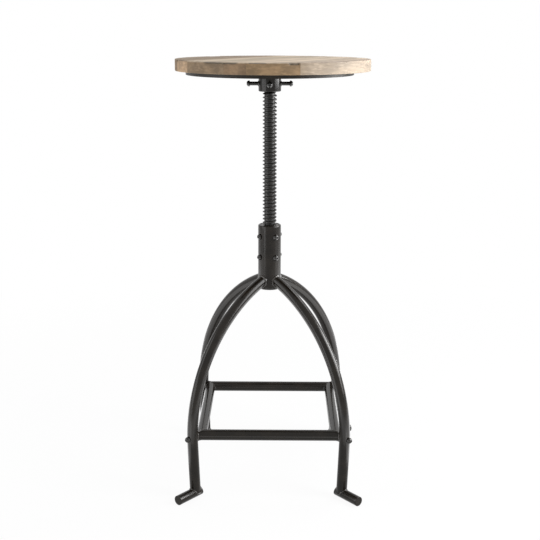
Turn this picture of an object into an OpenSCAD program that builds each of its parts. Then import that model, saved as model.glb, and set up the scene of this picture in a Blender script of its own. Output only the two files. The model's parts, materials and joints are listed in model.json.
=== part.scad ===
/* [Seat] */
// Diameter of the wooden seat
seat_d = 353; // [300:1:420]
// Thickness of the seat boards
seat_t = 20.5; // [15:0.5:40]
// How far the wooden seat sits off the screw's axis, towards the right
seat_shift = 5.5; // [0:0.5:10]
// Radius that eases the seat's upper and lower rims
seat_ease = 2; // [0.5:0.5:4]
// Direction of the seat boards, measured from left-to-right
board_angle = 58; // [0:1:90]
// Distance of the first joint between boards behind the seat's middle
board_start = 111; // [100:1:125]
// Widths of the four middle boards from the rear left; the end boards take what is left
board_w = [40, 86, 39, 75]; // [35:1:90]
// Open line of each glued joint between boards
board_gap = 0.2; // [0:0.1:1]

/* [Seat plate] */
// Diameter of the steel plate under the boards
plate_d = 303.4; // [250:0.2:340]
// Thickness of the steel plate
plate_t = 7; // [4:0.5:12]
// Radius on the plate's lower rim
plate_ease = 1; // [0.5:0.25:2]
// Distance of the wood screws from the plate's rim
screw_inset = 9; // [7:0.5:20]
// Closest that a pair of wood screws stands to the middle of its board
screw_min_along = 25; // [15:1:60]
// Shank diameter of a wood screw
wood_screw_d = 4.5; // [3.5:0.5:6]
// Diameter of a wood screw's countersunk head
wood_screw_head_d = 8.5; // [7:0.5:11]
// How far a wood screw reaches into the boards
wood_screw_bite = 11; // [8:0.5:14]
// Depth of the hexagon socket in a wood screw
wood_socket_deep = 1.2; // [0.8:0.1:1.6]

/* [Hub] */
// Outer diameter of the hub under the plate
hub_d = 41.2; // [36:0.2:60]
// Length of the hub
hub_l = 30.5; // [26:0.5:60]
// Radius on the hub's lower rim
hub_ease = 2; // [1:0.5:4]
// Height of the four hub bolts above the hub's lower face
hub_bolt_up = 14; // [10:0.5:18]
// Distance from the axis to the underside of a hub bolt's head
hub_bolt_head_r = 36; // [32:0.5:40]
// Length of a hub bolt under its head
hub_bolt_l = 28; // [26:0.5:29]
// Shank diameter of a hub bolt
hub_bolt_d = 7; // [5:0.5:8]

/* [Screw spindle] */
// Outer diameter of the thread
thread_d = 26; // [25:0.5:28]
// Depth of the thread
thread_depth = 3; // [2:0.25:4]
// Rise of the seat for one turn
lead = 6.8; // [6:0.1:8]
// Width of the thread's crest
crest_w = 1.7; // [1.2:0.1:2]
// Width of each flank along the axis
flank_w = 1.15; // [0.9:0.05:1.3]
// Diameter of the plain shank inside the hub
shank_d = 24; // [20:0.5:25]
// Free length of spindle between the sleeve and the hub, as the photo shows it
rise_shown = 246; // [150:1:250]
// Whole turns that the seat can still be raised
turns_up = 2; // [1:1:4]

/* [Sleeve and nut] */
// Outer diameter of the sleeve
sleeve_d = 43; // [41:0.5:50]
// Wall of the sleeve
sleeve_wall = 3.5; // [2.5:0.25:4]
// Length of the sleeve
sleeve_l = 122.5; // [120:0.5:160]
// Radius on the sleeve's upper rim
sleeve_ease = 2.5; // [1:0.25:3]
// Radius on the sleeve's lower rim
sleeve_lip_ease = 0.5; // [0.25:0.25:1]
// Depth of the nut's face below the sleeve's upper rim
nut_inset = 1; // [0.5:0.25:3]
// Length of the threaded nut
nut_l = 77; // [70:1:85]
// Distance of the upper ring of sleeve screws below the sleeve's top
screws_upper = 21.5; // [16:0.5:30]
// Distance between the two rings of sleeve screws
screws_apart = 39.5; // [30:0.5:50]
// Direction of the first sleeve screw, from the right
sleeve_screw_angle = -57; // [-80:1:-30]
// How far a sleeve screw bites into the nut
sleeve_screw_bite = 2.6; // [1.5:0.1:3]

/* [Stop] */
// Diameter of the stop washer
stop_d = 31; // [29:0.5:33]
// Thickness of the stop washer
stop_t = 3; // [2:0.5:5]
// Shank diameter of the stop bolt
stop_bolt_d = 8; // [6:0.5:10]
// Depth of the stop bolt in the spindle
stop_bolt_l = 20; // [14:1:30]
// Height of the stop bolt's hexagon head
stop_head_h = 5.5; // [4:0.5:8]
// Width of the stop bolt's head across its flats
stop_head_af = 13; // [12:0.5:16]

/* [Legs] */
// Diameter of a leg tube
leg_d = 20; // [18.5:0.5:25]
// Wall of a leg tube
leg_wall = 2; // [1.5:0.25:3]
// Distance of a leg from the axis at the floor
leg_foot_r = 192; // [180:1:240]
// Outward lean of a leg's straight lower length, in degrees
leg_lean = 2.6; // [0:0.1:5]
// Length of a leg's straight lower length
leg_straight = 106.5; // [80:0.5:130]
// Bend radius of a leg's upper length
leg_bend_r = 285; // [270:1:310]
// Distance from the sleeve's lower rim up to where a leg's axis meets it
leg_up = 14.5; // [14:0.5:40]

/* [Feet] */
// Diameter of a foot bar
foot_d = 18; // [14:0.5:19]
// Distance of a foot's outer end from the axis
foot_tip_r = 238; // [222:0.5:260]
// How far a foot's heel reaches in under its leg
heel_reach = 3; // [0:0.5:8]
// How far each foot is turned from its leg's direction towards the front, in degrees
foot_turn = 5; // [0:0.5:8]

/* [Footrest] */
// Height of the footrest rails' middle above the floor
rest_h = 118.5; // [100:0.5:160]
// Diameter of a footrest rail
rail_d = 20; // [16:0.5:22]
// Wall of a footrest rail
rail_wall = 2; // [1.5:0.25:3]
// Depth by which the frame's corners are hollowed to fit the legs
corner_bite = 2.4; // [0.5:0.1:3]
// How far a footrest bolt's tip shows inside its corner
bolt_tip = 1.5; // [0:0.5:4]

/* [Small bolts] */
// Shank diameter of the sleeve screws and of the footrest bolts
m_d = 6; // [5:0.5:6]
// Diameter of a bolt's domed head
bolt_head_d = 11; // [9:0.5:13]
// Height of a bolt's domed head
bolt_head_h = 6.5; // [5:0.5:7]
// Bevel under a bolt's domed head
bolt_head_bevel = 1; // [0.5:0.25:1.5]
// Diameter of a sleeve screw's domed head
sleeve_screw_head_d = 11; // [9:0.5:12]
// Height of a sleeve screw's domed head
sleeve_screw_head_h = 5; // [4:0.5:6]
// Width of a socket across its flats
socket_af = 4; // [3:0.5:5]
// Depth of a socket
socket_deep = 2.2; // [1.5:0.1:2.5]
// Width of a nut across its flats
hex_af = 10; // [9:0.5:10]
// Thickness of a nut
hex_t = 5; // [3:0.5:6]

/* [Clearances] */
// Line left open at a welded or glued fit
weld_gap = 0.1; // [0.05:0.05:0.3]
// Radial room of a bolt in its drilled hole
hole_gap = 0.2; // [0.1:0.05:0.4]
// Radial room of a bolt in its tapped hole
tap_gap = 0.05; // [0.03:0.01:0.1]
// Radial room between spindle thread and nut thread
thread_room_r = 0.45; // [0.35:0.05:0.6]
// Axial room on each flank between spindle thread and nut thread
thread_room_z = 0.3; // [0.25:0.05:0.4]
// Room on each side of the stop washer
stop_gap = 0.3; // [0.2:0.05:0.5]
// Room left when the seat is wound right down
down_gap = 1; // [0.5:0.5:5]

/* [Hidden] */
$fn = 64;
seg = 16;                   // steps of the faceted thread in one turn
leg_angles = [225, 315, 135, 45];
past = 1;                   // how far a cutter runs past the face that it cuts

seat_r = seat_d / 2;
plate_r = plate_d / 2;
sleeve_r = sleeve_d / 2;
sleeve_bore_r = sleeve_r - sleeve_wall;
crest_r = thread_d / 2;
root_r = crest_r - thread_depth;
shank_r = shank_d / 2;
round_up = 1 / cos(180 / seg);   // from a facet's middle to its corner

// A leg's axis: a straight length, then a bend that ends in the sleeve
bend_x = leg_foot_r + leg_straight * sin(leg_lean);
bend_z = leg_straight * cos(leg_lean);
bend_cx = bend_x - leg_bend_r * cos(leg_lean);
bend_cz = bend_z + leg_bend_r * sin(leg_lean);
meet_angle = acos((sleeve_r - bend_cx) / leg_bend_r);
meet_z = bend_cz + leg_bend_r * sin(meet_angle);
inside_r = sleeve_r / 2;    // the bend is drawn on to here, then cut at the sleeve
end_angle = acos((inside_r - bend_cx) / leg_bend_r);

// Heights, from the floor up
sleeve_z = meet_z - leg_up;
sleeve_top = sleeve_z + sleeve_l;
nut_z = sleeve_top - nut_inset - nut_l;
hub_z = sleeve_top + rise_shown;
plate_z = hub_z + hub_l;
seat_z = plate_z + plate_t;
seat_top = seat_z + seat_t;
hub_bolt_z = hub_z + hub_bolt_up;

// The spindle's lower end leaves room for the last turns up
travel_up = turns_up * lead;
spindle_z = nut_z - travel_up - stop_gap;
washer_z = spindle_z - stop_gap - stop_t;
bolt_head_z = washer_z - stop_gap - stop_head_h;
turns_down = floor((rise_shown - down_gap) / lead);

// The thread runs from just above the spindle's end to just below the hub
thread_lead_in = 2;
thread_z = spindle_z + thread_lead_in;
ridge_w = 2 * flank_w + crest_w;
thread_steps = floor((hub_z - thread_lead_in - ridge_w - thread_z) / lead * seg);

// The nut's thread is the same helix, wider by its room
nut_root_r = (root_r + thread_room_r) * round_up;
nut_crest_r = (crest_r + thread_room_r) * round_up;
nut_crest_w = crest_w + 2 * thread_room_z;
nut_start = floor((nut_z - thread_z) / lead) - 2;
nut_steps = (ceil(nut_l / lead) + 3) * seg;
nut_r = sleeve_bore_r - weld_gap;
screw_tip_r = nut_r - sleeve_screw_bite;

// A foot bar starts behind its leg
heel_r = leg_foot_r - leg_d / 2 - heel_reach;

// Footrest: its corners reach just into the legs
rest_leg_r = bend_cx + leg_bend_r * cos(asin((rest_h - bend_cz) / leg_bend_r));
rest_half = (rest_leg_r - leg_d / 2 + corner_bite) / sqrt(2) - rail_d / 2;
rest_bolt_out = rest_leg_r + leg_d / 2;
rest_bolt_in = (rest_half - rail_d / 2) * sqrt(2) - bolt_tip;

// Seat boards lie across this direction, side by side
board_count = len(board_w) + 2;
shift_across = seat_shift * sin(board_angle);
function board_edge(i) = i == 0 ? -seat_r : i == board_count ? seat_r
                       : i == 1 ? -board_start : board_edge(i - 1) + board_w[i - 2];
function board_mid(i) = (board_edge(i) + board_edge(i + 1)) / 2;

// Every wood screw stands on one circle, a pair for each board
screw_ring_r = plate_r - screw_inset;
screw_max_across = sqrt(pow(screw_ring_r, 2) - pow(screw_min_along, 2));
function screw_across(i) = let (c = board_mid(i) + shift_across)
    sign(c) * min(abs(c), screw_max_across);
function screw_along(i) = sqrt(pow(screw_ring_r, 2) - pow(screw_across(i), 2));

// A helical thread on a core that runs from z_low to z_high with flat ends. The ridge is
// flat wide at its crest, and each flank takes flank of length along the axis.
module screw_body(root, crest, flank, flat, z0, steps, z_low, z_high) {
    rise = [0, flank, flank + flat, 2 * flank + flat];
    helix = [for (k = [0:steps]) for (j = [0:3])
        let (a = 360 * k / seg, r = (j == 0 || j == 3) ? root : crest)
        [r * cos(a), r * sin(a), z0 + lead * k / seg + rise[j]]];
    rings = [for (z = [z_low, z_high]) for (k = [0:seg - 1])
        let (a = 360 * k / seg) [root * cos(a), root * sin(a), z]];
    function at(k, j) = 4 * k + j;
    function ring_at(i, k) = 4 * (steps + 1) + seg * i + (k % seg);
    function quad(a, b, c, d) = [[a, b, c], [a, c, d]];
    ridge = [for (k = [0:steps - 1]) for (j = [0:2]) each
        quad(at(k, j), at(k, j + 1), at(k + 1, j + 1), at(k + 1, j))];
    groove = [for (k = [0:steps - seg - 1]) each
        quad(at(k, 3), at(k + seg, 0), at(k + seg + 1, 0), at(k + 1, 3))];
    below = [for (k = [0:seg - 2]) each
        quad(ring_at(0, k), at(k, 0), at(k + 1, 0), ring_at(0, k + 1))];
    b = ring_at(0, seg - 1);
    below_end = [[b, at(seg - 1, 0), at(seg, 0)], [b, at(seg, 0), at(0, 3)],
                 [b, at(0, 3), at(0, 0)], [b, at(0, 0), ring_at(0, 0)]];
    above = [for (k = [steps - seg + 1:steps - 1]) each
        quad(at(k, 3), ring_at(1, k), ring_at(1, k + 1), at(k + 1, 3))];
    t = at(steps - seg + 1, 3);
    above_end = [[t, at(steps - seg, 3), at(steps, 0)], [t, at(steps, 0), at(steps, 3)],
                 [t, at(steps, 3), ring_at(1, steps)],
                 [t, ring_at(1, steps), ring_at(1, steps + 1)]];
    ends = [[at(0, 0), at(0, 3), at(0, 2), at(0, 1)],
            [at(steps, 0), at(steps, 1), at(steps, 2), at(steps, 3)],
            [for (k = [0:seg - 1]) ring_at(0, k)],
            [for (k = [seg - 1:-1:0]) ring_at(1, k)]];
    polyhedron(points = concat(helix, rings),
               faces = concat(ridge, groove, below, below_end, above, above_end, ends));
}

// A disc whose upper rim, lower rim or both are rounded
module eased_disc(r, t, top, bottom) {
    rotate_extrude() union() {
        translate([0, bottom]) square([r, t - top - bottom]);
        square([r - bottom, t]);
        square([r - top, t]);
        if (bottom > 0) translate([r - bottom, bottom]) circle(bottom);
        if (top > 0) translate([r - top, t - top]) circle(top);
    }
}

// A domed head standing on the plane z = 0, bevelled below, with a hexagon socket
module dome_head(d, h) {
    rise = h - bolt_head_bevel;
    ball = (pow(d / 2, 2) + pow(rise, 2)) / (2 * rise);
    difference() {
        union() {
            cylinder(h = bolt_head_bevel, d1 = d - 2 * bolt_head_bevel, d2 = d);
            translate([0, 0, bolt_head_bevel]) intersection() {
                translate([0, 0, rise - ball]) sphere(ball);
                cylinder(h = rise, d = d);
            }
        }
        translate([0, 0, h - socket_deep]) hexagon(socket_af, socket_deep + past);
    }
}

module hexagon(af, h) {
    cylinder(h = h, d = af / cos(30), $fn = 6);
}

// Places its children at distance r from the axis, pointing outwards
module outward(angle, r, z) {
    rotate([0, 0, angle]) translate([r, 0, z]) rotate([0, 90, 0]) children();
}

// Seat boards and plate

module at_screws(i) {
    for (side = [-1, 1]) rotate([0, 0, board_angle - 90])
        translate([screw_across(i), side * screw_along(i), 0]) children();
}

module wood_screw(room) {
    head_h = (wood_screw_head_d - wood_screw_d) / 2;
    d = wood_screw_d + 2 * room;
    translate([0, 0, plate_z - room]) cylinder(h = plate_t + wood_screw_bite + 2 * room, d = d);
    translate([0, 0, plate_z - room])
        cylinder(h = head_h + room, d1 = wood_screw_head_d + 2 * room, d2 = d);
}

module seat_board(i) {
    from = board_edge(i) + (i == 0 ? -past : board_gap / 2);
    to = board_edge(i + 1) + (i == board_count - 1 ? past : -board_gap / 2);
    color([0.66, 0.56, 0.45]) difference() {
        intersection() {
            translate([seat_shift, 0, seat_z]) eased_disc(seat_r, seat_t, seat_ease, seat_ease);
            translate([seat_shift, 0, seat_z - past]) rotate([0, 0, board_angle - 90])
                translate([from, -seat_d, 0]) cube([to - from, 2 * seat_d, seat_t + 2 * past]);
        }
        for (k = [0:board_count - 1]) at_screws(k) wood_screw(tap_gap);
    }
}

module seat_plate() {
    color([0.27, 0.26, 0.24]) difference() {
        translate([0, 0, plate_z]) eased_disc(plate_r, plate_t, 0, plate_ease);
        for (k = [0:board_count - 1]) at_screws(k) wood_screw(hole_gap);
    }
}

module seat_screws() {
    color([0.4, 0.4, 0.4]) for (k = [0:board_count - 1]) at_screws(k) difference() {
        wood_screw(0);
        translate([0, 0, plate_z - past]) hexagon(socket_af, wood_socket_deep + past);
    }
}

// Hub and its bolts

module at_hub_bolts(r) {
    for (k = [0:3]) outward(90 * k, r, hub_bolt_z) children();
}

module seat_hub() {
    color([0.25, 0.24, 0.22]) difference() {
        translate([0, 0, hub_z]) eased_disc(hub_d / 2, hub_l - weld_gap, 0, hub_ease);
        translate([0, 0, hub_z - past])
            cylinder(h = hub_l + 2 * past, r = shank_r + tap_gap);
        at_hub_bolts(0) cylinder(h = hub_d, r = hub_bolt_d / 2 + tap_gap);
    }
}

module hub_bolts() {
    color([0.2, 0.19, 0.18]) at_hub_bolts(hub_bolt_head_r) {
        translate([0, 0, -hub_bolt_l]) cylinder(h = hub_bolt_l, d = hub_bolt_d);
        dome_head(bolt_head_d, bolt_head_h);
    }
}

// Spindle, nut and stop

module spindle() {
    color([0.3, 0.29, 0.27]) difference() {
        union() {
            screw_body(root_r, crest_r, flank_w, crest_w, thread_z, thread_steps,
                       spindle_z, hub_z + thread_lead_in);
            translate([0, 0, hub_z]) cylinder(h = hub_l - weld_gap, r = shank_r);
        }
        translate([0, 0, spindle_z - past])
            cylinder(h = stop_bolt_l + 2 * past, r = stop_bolt_d / 2 + tap_gap);
        at_hub_bolts(hub_bolt_head_r - hub_bolt_l - tap_gap)
            cylinder(h = hub_bolt_l, r = hub_bolt_d / 2 + tap_gap);
    }
}

module spindle_nut() {
    start_z = thread_z + nut_start * lead - thread_room_z;
    color([0.45, 0.4, 0.3]) difference() {
        translate([0, 0, nut_z]) cylinder(h = nut_l, r = nut_r);
        screw_body(nut_root_r, nut_crest_r, flank_w, nut_crest_w, start_z, nut_steps,
                   start_z - lead, start_z + (nut_steps / seg + 2) * lead);
        at_sleeve_screws(screw_tip_r - tap_gap) cylinder(h = sleeve_r, r = m_d / 2 + tap_gap);
    }
}

module stop_washer() {
    color([0.5, 0.5, 0.5]) translate([0, 0, washer_z]) difference() {
        cylinder(h = stop_t, d = stop_d);
        translate([0, 0, -past])
            cylinder(h = stop_t + 2 * past, r = stop_bolt_d / 2 + tap_gap);
    }
}

module stop_bolt() {
    color([0.35, 0.35, 0.35]) {
        translate([0, 0, bolt_head_z]) hexagon(stop_head_af, stop_head_h);
        translate([0, 0, bolt_head_z + stop_head_h / 2])
            cylinder(h = spindle_z + stop_bolt_l - bolt_head_z - stop_head_h / 2,
                     d = stop_bolt_d);
    }
}

// Sleeve

module at_sleeve_screws(r) {
    for (z = [sleeve_top - screws_upper, sleeve_top - screws_upper - screws_apart])
        for (k = [0:3]) outward(sleeve_screw_angle - 90 + 90 * k, r, z) children();
}

module sleeve() {
    color([0.25, 0.24, 0.22]) difference() {
        translate([0, 0, sleeve_z]) eased_disc(sleeve_r, sleeve_l, sleeve_ease, sleeve_lip_ease);
        translate([0, 0, sleeve_z - past])
            cylinder(h = sleeve_l + 2 * past, r = sleeve_bore_r);
        at_sleeve_screws(0) cylinder(h = sleeve_d, r = m_d / 2 + hole_gap);
    }
}

module sleeve_screws() {
    color([0.2, 0.19, 0.18]) {
        at_sleeve_screws(sleeve_r + tap_gap) dome_head(sleeve_screw_head_d, sleeve_screw_head_h);
        at_sleeve_screws(screw_tip_r) cylinder(h = sleeve_r + tap_gap - screw_tip_r, d = m_d);
    }
}

// Legs and feet

module leg_axis(d) {
    translate([bend_x, 0, bend_z]) rotate([0, leg_lean, 0]) {
        translate([0, 0, -leg_straight]) cylinder(h = leg_straight, d = d);
        translate([-leg_bend_r, 0, 0]) rotate([90, 0, 0])
            rotate_extrude(angle = leg_lean + end_angle)
            translate([leg_bend_r, 0]) circle(d = d);
    }
}

// Turns its children about the foot of the leg that stands in this direction
module turned(angle) {
    turn = -sign(cos(angle)) * foot_turn;
    translate([leg_foot_r, 0, 0]) rotate([0, 0, turn]) translate([-leg_foot_r, 0, 0])
        children();
}

module foot_bar(room) {
    translate([heel_r, 0, foot_d / 2]) rotate([0, 90, 0])
        cylinder(h = foot_tip_r - heel_r, r = foot_d / 2 + room);
}

module leg(angle) {
    rotate([0, 0, angle]) color([0.25, 0.24, 0.22]) difference() {
        leg_axis(leg_d);
        leg_axis(leg_d - 2 * leg_wall);
        translate([0, 0, sleeve_z - sleeve_l])
            cylinder(h = 3 * sleeve_l, r = sleeve_r + weld_gap);
        turned(angle) foot_bar(weld_gap);
        translate([leg_foot_r - leg_d, -leg_d, -leg_d])
            cube([2 * leg_d, 2 * leg_d, leg_d + foot_d / 2]);
        outward(0, rest_leg_r - leg_d, rest_h)
            cylinder(h = 2 * leg_d, r = m_d / 2 + hole_gap);
    }
}

module foot(angle) {
    cut = atan(heel_reach / foot_d);
    rotate([0, 0, angle]) color([0.27, 0.26, 0.24]) turned(angle) difference() {
        foot_bar(0);
        translate([heel_r, -foot_d, 0]) rotate([0, cut, 0])
            translate([-foot_d, 0, -foot_d]) cube([foot_d, 2 * foot_d, 3 * foot_d]);
    }
}

// Footrest

module rail(side) {
    reach = rest_half + rail_d;
    far = 2 * reach;
    color([0.27, 0.26, 0.24]) rotate([0, 0, 90 * side]) difference() {
        intersection() {
            translate([-reach, -rest_half, rest_h]) rotate([0, 90, 0]) difference() {
                cylinder(h = 2 * reach, d = rail_d);
                translate([0, 0, -past])
                    cylinder(h = 2 * (reach + past), d = rail_d - 2 * rail_wall);
            }
            translate([0, -weld_gap, rest_h - rail_d])
                linear_extrude(2 * rail_d) polygon([[0, 0], [far, -far], [-far, -far]]);
        }
        for (angle = [225, 315]) rotate([0, 0, angle]) {
            leg_axis(leg_d + 2 * weld_gap);
            outward(0, rest_bolt_in - rail_d, rest_h)
                cylinder(h = 3 * rail_d, r = m_d / 2 + hole_gap);
        }
    }
}

module footrest_bolts() {
    color([0.2, 0.19, 0.18]) for (angle = leg_angles) {
        outward(angle, rest_bolt_out + tap_gap, rest_h) dome_head(bolt_head_d, bolt_head_h);
        outward(angle, rest_bolt_in, rest_h)
            cylinder(h = rest_bolt_out + tap_gap - rest_bolt_in, d = m_d);
    }
}

module footrest_nuts() {
    color([0.4, 0.4, 0.4]) for (angle = leg_angles)
        outward(angle, rest_half * sqrt(2) - hex_t / 2, rest_h) difference() {
            rotate([0, 0, 30]) hexagon(hex_af, hex_t);
            translate([0, 0, -past]) cylinder(h = hex_t + 2 * past, r = m_d / 2 + tap_gap);
        }
}

// All of it is drawn about the screw's axis, then moved so that the seat's middle is over
// the origin
module placed() {
    translate([-seat_shift, 0, 0]) children();
}

placed() seat_board(0);  // seat_board_1
placed() seat_board(1);  // seat_board_2
placed() seat_board(2);  // seat_board_3
placed() seat_board(3);  // seat_board_4
placed() seat_board(4);  // seat_board_5
placed() seat_board(5);  // seat_board_6
placed() seat_plate();
placed() seat_screws();
placed() seat_hub();
placed() hub_bolts();
placed() spindle();
placed() stop_washer();
placed() stop_bolt();
placed() sleeve();
placed() spindle_nut();
placed() sleeve_screws();
placed() leg(leg_angles[0]);  // leg_front_left
placed() leg(leg_angles[1]);  // leg_front_right
placed() leg(leg_angles[2]);  // leg_rear_left
placed() leg(leg_angles[3]);  // leg_rear_right
placed() foot(leg_angles[0]);  // foot_front_left
placed() foot(leg_angles[1]);  // foot_front_right
placed() foot(leg_angles[2]);  // foot_rear_left
placed() foot(leg_angles[3]);  // foot_rear_right
placed() rail(0);  // rail_front
placed() rail(1);  // rail_right
placed() rail(2);  // rail_rear
placed() rail(3);  // rail_left
placed() footrest_bolts();
placed() footrest_nuts();
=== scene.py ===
"""A screw-height bar stool: weathered plank seat, threaded spindle, bent tube legs.

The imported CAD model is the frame. This script adds the surfaces that the solids leave plain: worn
boards with their grain, a round-crested thread, bent tubes with their weld beads, domed bolts, and
a finish for every solid that stays.
"""

import json
import logging
import math
from dataclasses import dataclass, field, replace
from enum import Enum

import bmesh
import bpy
import numpy as np
from mathutils import Matrix, Vector

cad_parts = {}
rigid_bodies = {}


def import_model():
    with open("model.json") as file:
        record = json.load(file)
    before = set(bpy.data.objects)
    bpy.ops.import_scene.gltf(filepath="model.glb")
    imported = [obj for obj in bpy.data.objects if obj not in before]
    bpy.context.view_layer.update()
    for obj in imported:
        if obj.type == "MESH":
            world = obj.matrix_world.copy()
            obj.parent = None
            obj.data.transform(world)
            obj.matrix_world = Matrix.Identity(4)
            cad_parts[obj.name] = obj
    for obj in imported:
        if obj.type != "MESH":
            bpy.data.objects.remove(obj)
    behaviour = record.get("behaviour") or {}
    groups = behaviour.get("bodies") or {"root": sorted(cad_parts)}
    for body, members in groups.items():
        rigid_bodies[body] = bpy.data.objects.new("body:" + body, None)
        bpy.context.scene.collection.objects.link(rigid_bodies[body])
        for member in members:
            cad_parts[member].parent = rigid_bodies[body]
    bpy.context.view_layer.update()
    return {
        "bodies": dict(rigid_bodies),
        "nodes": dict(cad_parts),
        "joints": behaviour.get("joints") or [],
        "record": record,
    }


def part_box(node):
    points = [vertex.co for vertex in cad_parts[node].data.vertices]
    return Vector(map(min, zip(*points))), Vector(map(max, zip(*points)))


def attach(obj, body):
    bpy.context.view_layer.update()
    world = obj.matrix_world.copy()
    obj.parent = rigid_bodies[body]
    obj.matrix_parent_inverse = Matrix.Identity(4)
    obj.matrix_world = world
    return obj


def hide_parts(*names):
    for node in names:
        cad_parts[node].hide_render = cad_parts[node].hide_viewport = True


LOG = logging.getLogger("bar_stool")

MM = 0.001
FULL_TURN = 2.0 * math.pi
ROOT_TWO = math.sqrt(2.0)
ALONG_X, ALONG_Y, ALONG_Z = np.eye(3)
WHITE = (1.0, 1.0, 1.0)

Socket = bpy.types.NodeSocket


class Body(Enum):
    """The CAD bodies that the pieces ride on."""

    BASE = "base"
    SEAT = "seat"


# Numeric noise and surfaces


def hash_lattice(cells: np.ndarray, seed: int) -> np.ndarray:
    """A repeatable value for each lattice cell.

    value = fract(sin(i * 127.1 + j * 311.7 + k * 74.7 + seed * 19.19) * 43758.5453)

    Args:
        cells: Whole-number cells, shape (..., 3).
        seed: Which field of values to read.

    Returns:
        Values from 0 to 1, shape (...).
    """
    mixed = cells @ np.array([127.1, 311.7, 74.7]) + seed * 19.19
    value = np.sin(mixed) * 43758.5453
    return value - np.floor(value)


def value_noise(points: np.ndarray, size: float, seed: int) -> np.ndarray:
    """Smooth noise: the eight corner values of each cell, blended by 3t^2 - 2t^3.

    Args:
        points: Positions in metres, shape (..., 3).
        size: Width of a cell in metres.
        seed: Which field of values to read.

    Returns:
        Values from -1 to 1, shape (...).
    """
    scaled = points / size
    cell = np.floor(scaled)
    blend = smooth_step(scaled - cell, 0.0, 1.0)
    total = np.zeros(points.shape[:-1])
    for corner in np.ndindex(2, 2, 2):
        offset = np.array(corner, float)
        weight = np.prod(np.where(offset > 0.5, blend, 1.0 - blend), axis=-1)
        total += weight * hash_lattice(cell + offset, seed)
    return 2.0 * total - 1.0


def share_noise(points: np.ndarray, size: float, seed: int) -> np.ndarray:
    """The same noise from 0 to 1."""
    return 0.5 + 0.5 * value_noise(points, size, seed)


def smooth_step(value: np.ndarray, low: float, high: float) -> np.ndarray:
    """0 below low, 1 above high, and t^2 (3 - 2t) between them."""
    part = np.clip((value - low) / (high - low), 0.0, 1.0)
    return part * part * (3.0 - 2.0 * part)


def grid(*parts: object) -> np.ndarray:
    """Puts coordinates together as points, each spread over the others' shape."""
    return np.stack(np.broadcast_arrays(*parts), axis=-1)


def circle(radius: np.ndarray | float, count: int) -> tuple[np.ndarray, np.ndarray]:
    """radius cos t and radius sin t, for t round the circle in even steps."""
    turn = np.linspace(0.0, FULL_TURN, count, endpoint=False)
    return radius * np.cos(turn), radius * np.sin(turn)


def arc_points(radius: float, start: float, end: float, count: int,
               centre: tuple = (0.0, 0.0)) -> np.ndarray:
    """Points of an arc: centre + (radius cos a, radius sin a) for a from start to end.

    Args:
        radius: The arc's radius.
        start: First angle in degrees.
        end: Last angle in degrees.
        count: How many points.
        centre: Its middle.

    Returns:
        Array of shape (count, 2).
    """
    angle = np.radians(np.linspace(start, end, count))
    return radius * grid(np.cos(angle), np.sin(angle)) + np.array(centre)


def capped(tube: np.ndarray) -> np.ndarray:
    """Closes a tube's grid with a pole at each end, the mean of the ring there."""
    poles = [np.broadcast_to(ring.mean(axis=0), ring.shape)[None] for ring in (tube[0], tube[-1])]
    return np.concatenate([poles[0], tube, poles[1]])


@dataclass
class Patch:
    """One grid of points, with faces between its neighbours."""

    points: np.ndarray
    closed_rows: bool = False
    closed_columns: bool = True
    tint: np.ndarray | None = None

    def faces(self, first: int) -> np.ndarray:
        """The four corners of each face: (i, j), (i, j+1), (i+1, j+1), (i+1, j).

        Args:
            first: Number of the grid's first vertex in the whole mesh.

        Returns:
            Array of shape (faces, 4).
        """
        rows, columns = self.points.shape[:2]
        i = np.arange(rows if self.closed_rows else rows - 1)[:, None]
        j = np.arange(columns if self.closed_columns else columns - 1)[None, :]
        next_i, next_j = (i + 1) % rows, (j + 1) % columns
        corners = grid(i * columns + j, i * columns + next_j, next_i * columns + next_j,
                       next_i * columns + j)
        return corners.reshape(-1, 4) + first

    def moved(self, x: float = 0.0, z: float = 0.0) -> "Patch":
        """A copy moved along X and Z."""
        return replace(self, points=self.points + np.array([x, 0.0, z]))

    def turned(self, degrees: float) -> "Patch":
        """A copy turned about the Z axis: (x cos a - y sin a, x sin a + y cos a, z).

        Args:
            degrees: The angle a.

        Returns:
            The turned grid.
        """
        c, s = math.cos(math.radians(degrees)), math.sin(math.radians(degrees))
        x, y, z = np.moveaxis(self.points, -1, 0)
        return replace(self, points=grid(x * c - y * s, x * s + y * c, z))


def join_patches(name: str, patches: list[Patch], sharp_degrees: float) -> bpy.types.Mesh:
    """Joins grids into one closed mesh whose faces point outwards.

    Args:
        name: The mesh's name.
        patches: Grids that meet at their borders or close on themselves.
        sharp_degrees: Edges that bend more than this stay sharp.

    Returns:
        The mesh, with the grids' tints as a point attribute of wear and painted shade.
    """
    points = np.concatenate([p.points.reshape(-1, 3) for p in patches])
    starts = np.cumsum([0] + [p.points[..., 0].size for p in patches])
    faces = np.concatenate([p.faces(int(s)) for p, s in zip(patches, starts)])
    mesh = bpy.data.meshes.new(name)
    mesh.from_pydata(points.tolist(), [], faces.tolist())
    if any(p.tint is not None for p in patches):
        tint = np.concatenate([np.zeros(p.points[..., 0].size) if p.tint is None
                               else p.tint.ravel() for p in patches])
        layer = mesh.attributes.new("wear", "FLOAT", "POINT")
        layer.data.foreach_set("value", tint.astype(np.float32))
    work = bmesh.new()
    work.from_mesh(mesh)
    bmesh.ops.remove_doubles(work, verts=work.verts, dist=2e-6)
    bmesh.ops.dissolve_degenerate(work, edges=work.edges, dist=1e-6)
    bmesh.ops.recalc_face_normals(work, faces=work.faces)
    work.to_mesh(mesh)
    work.free()
    mesh.polygons.foreach_set("use_smooth", np.ones(len(mesh.polygons), bool))
    mesh.set_sharp_from_angle(angle=math.radians(sharp_degrees))
    return mesh


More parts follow.
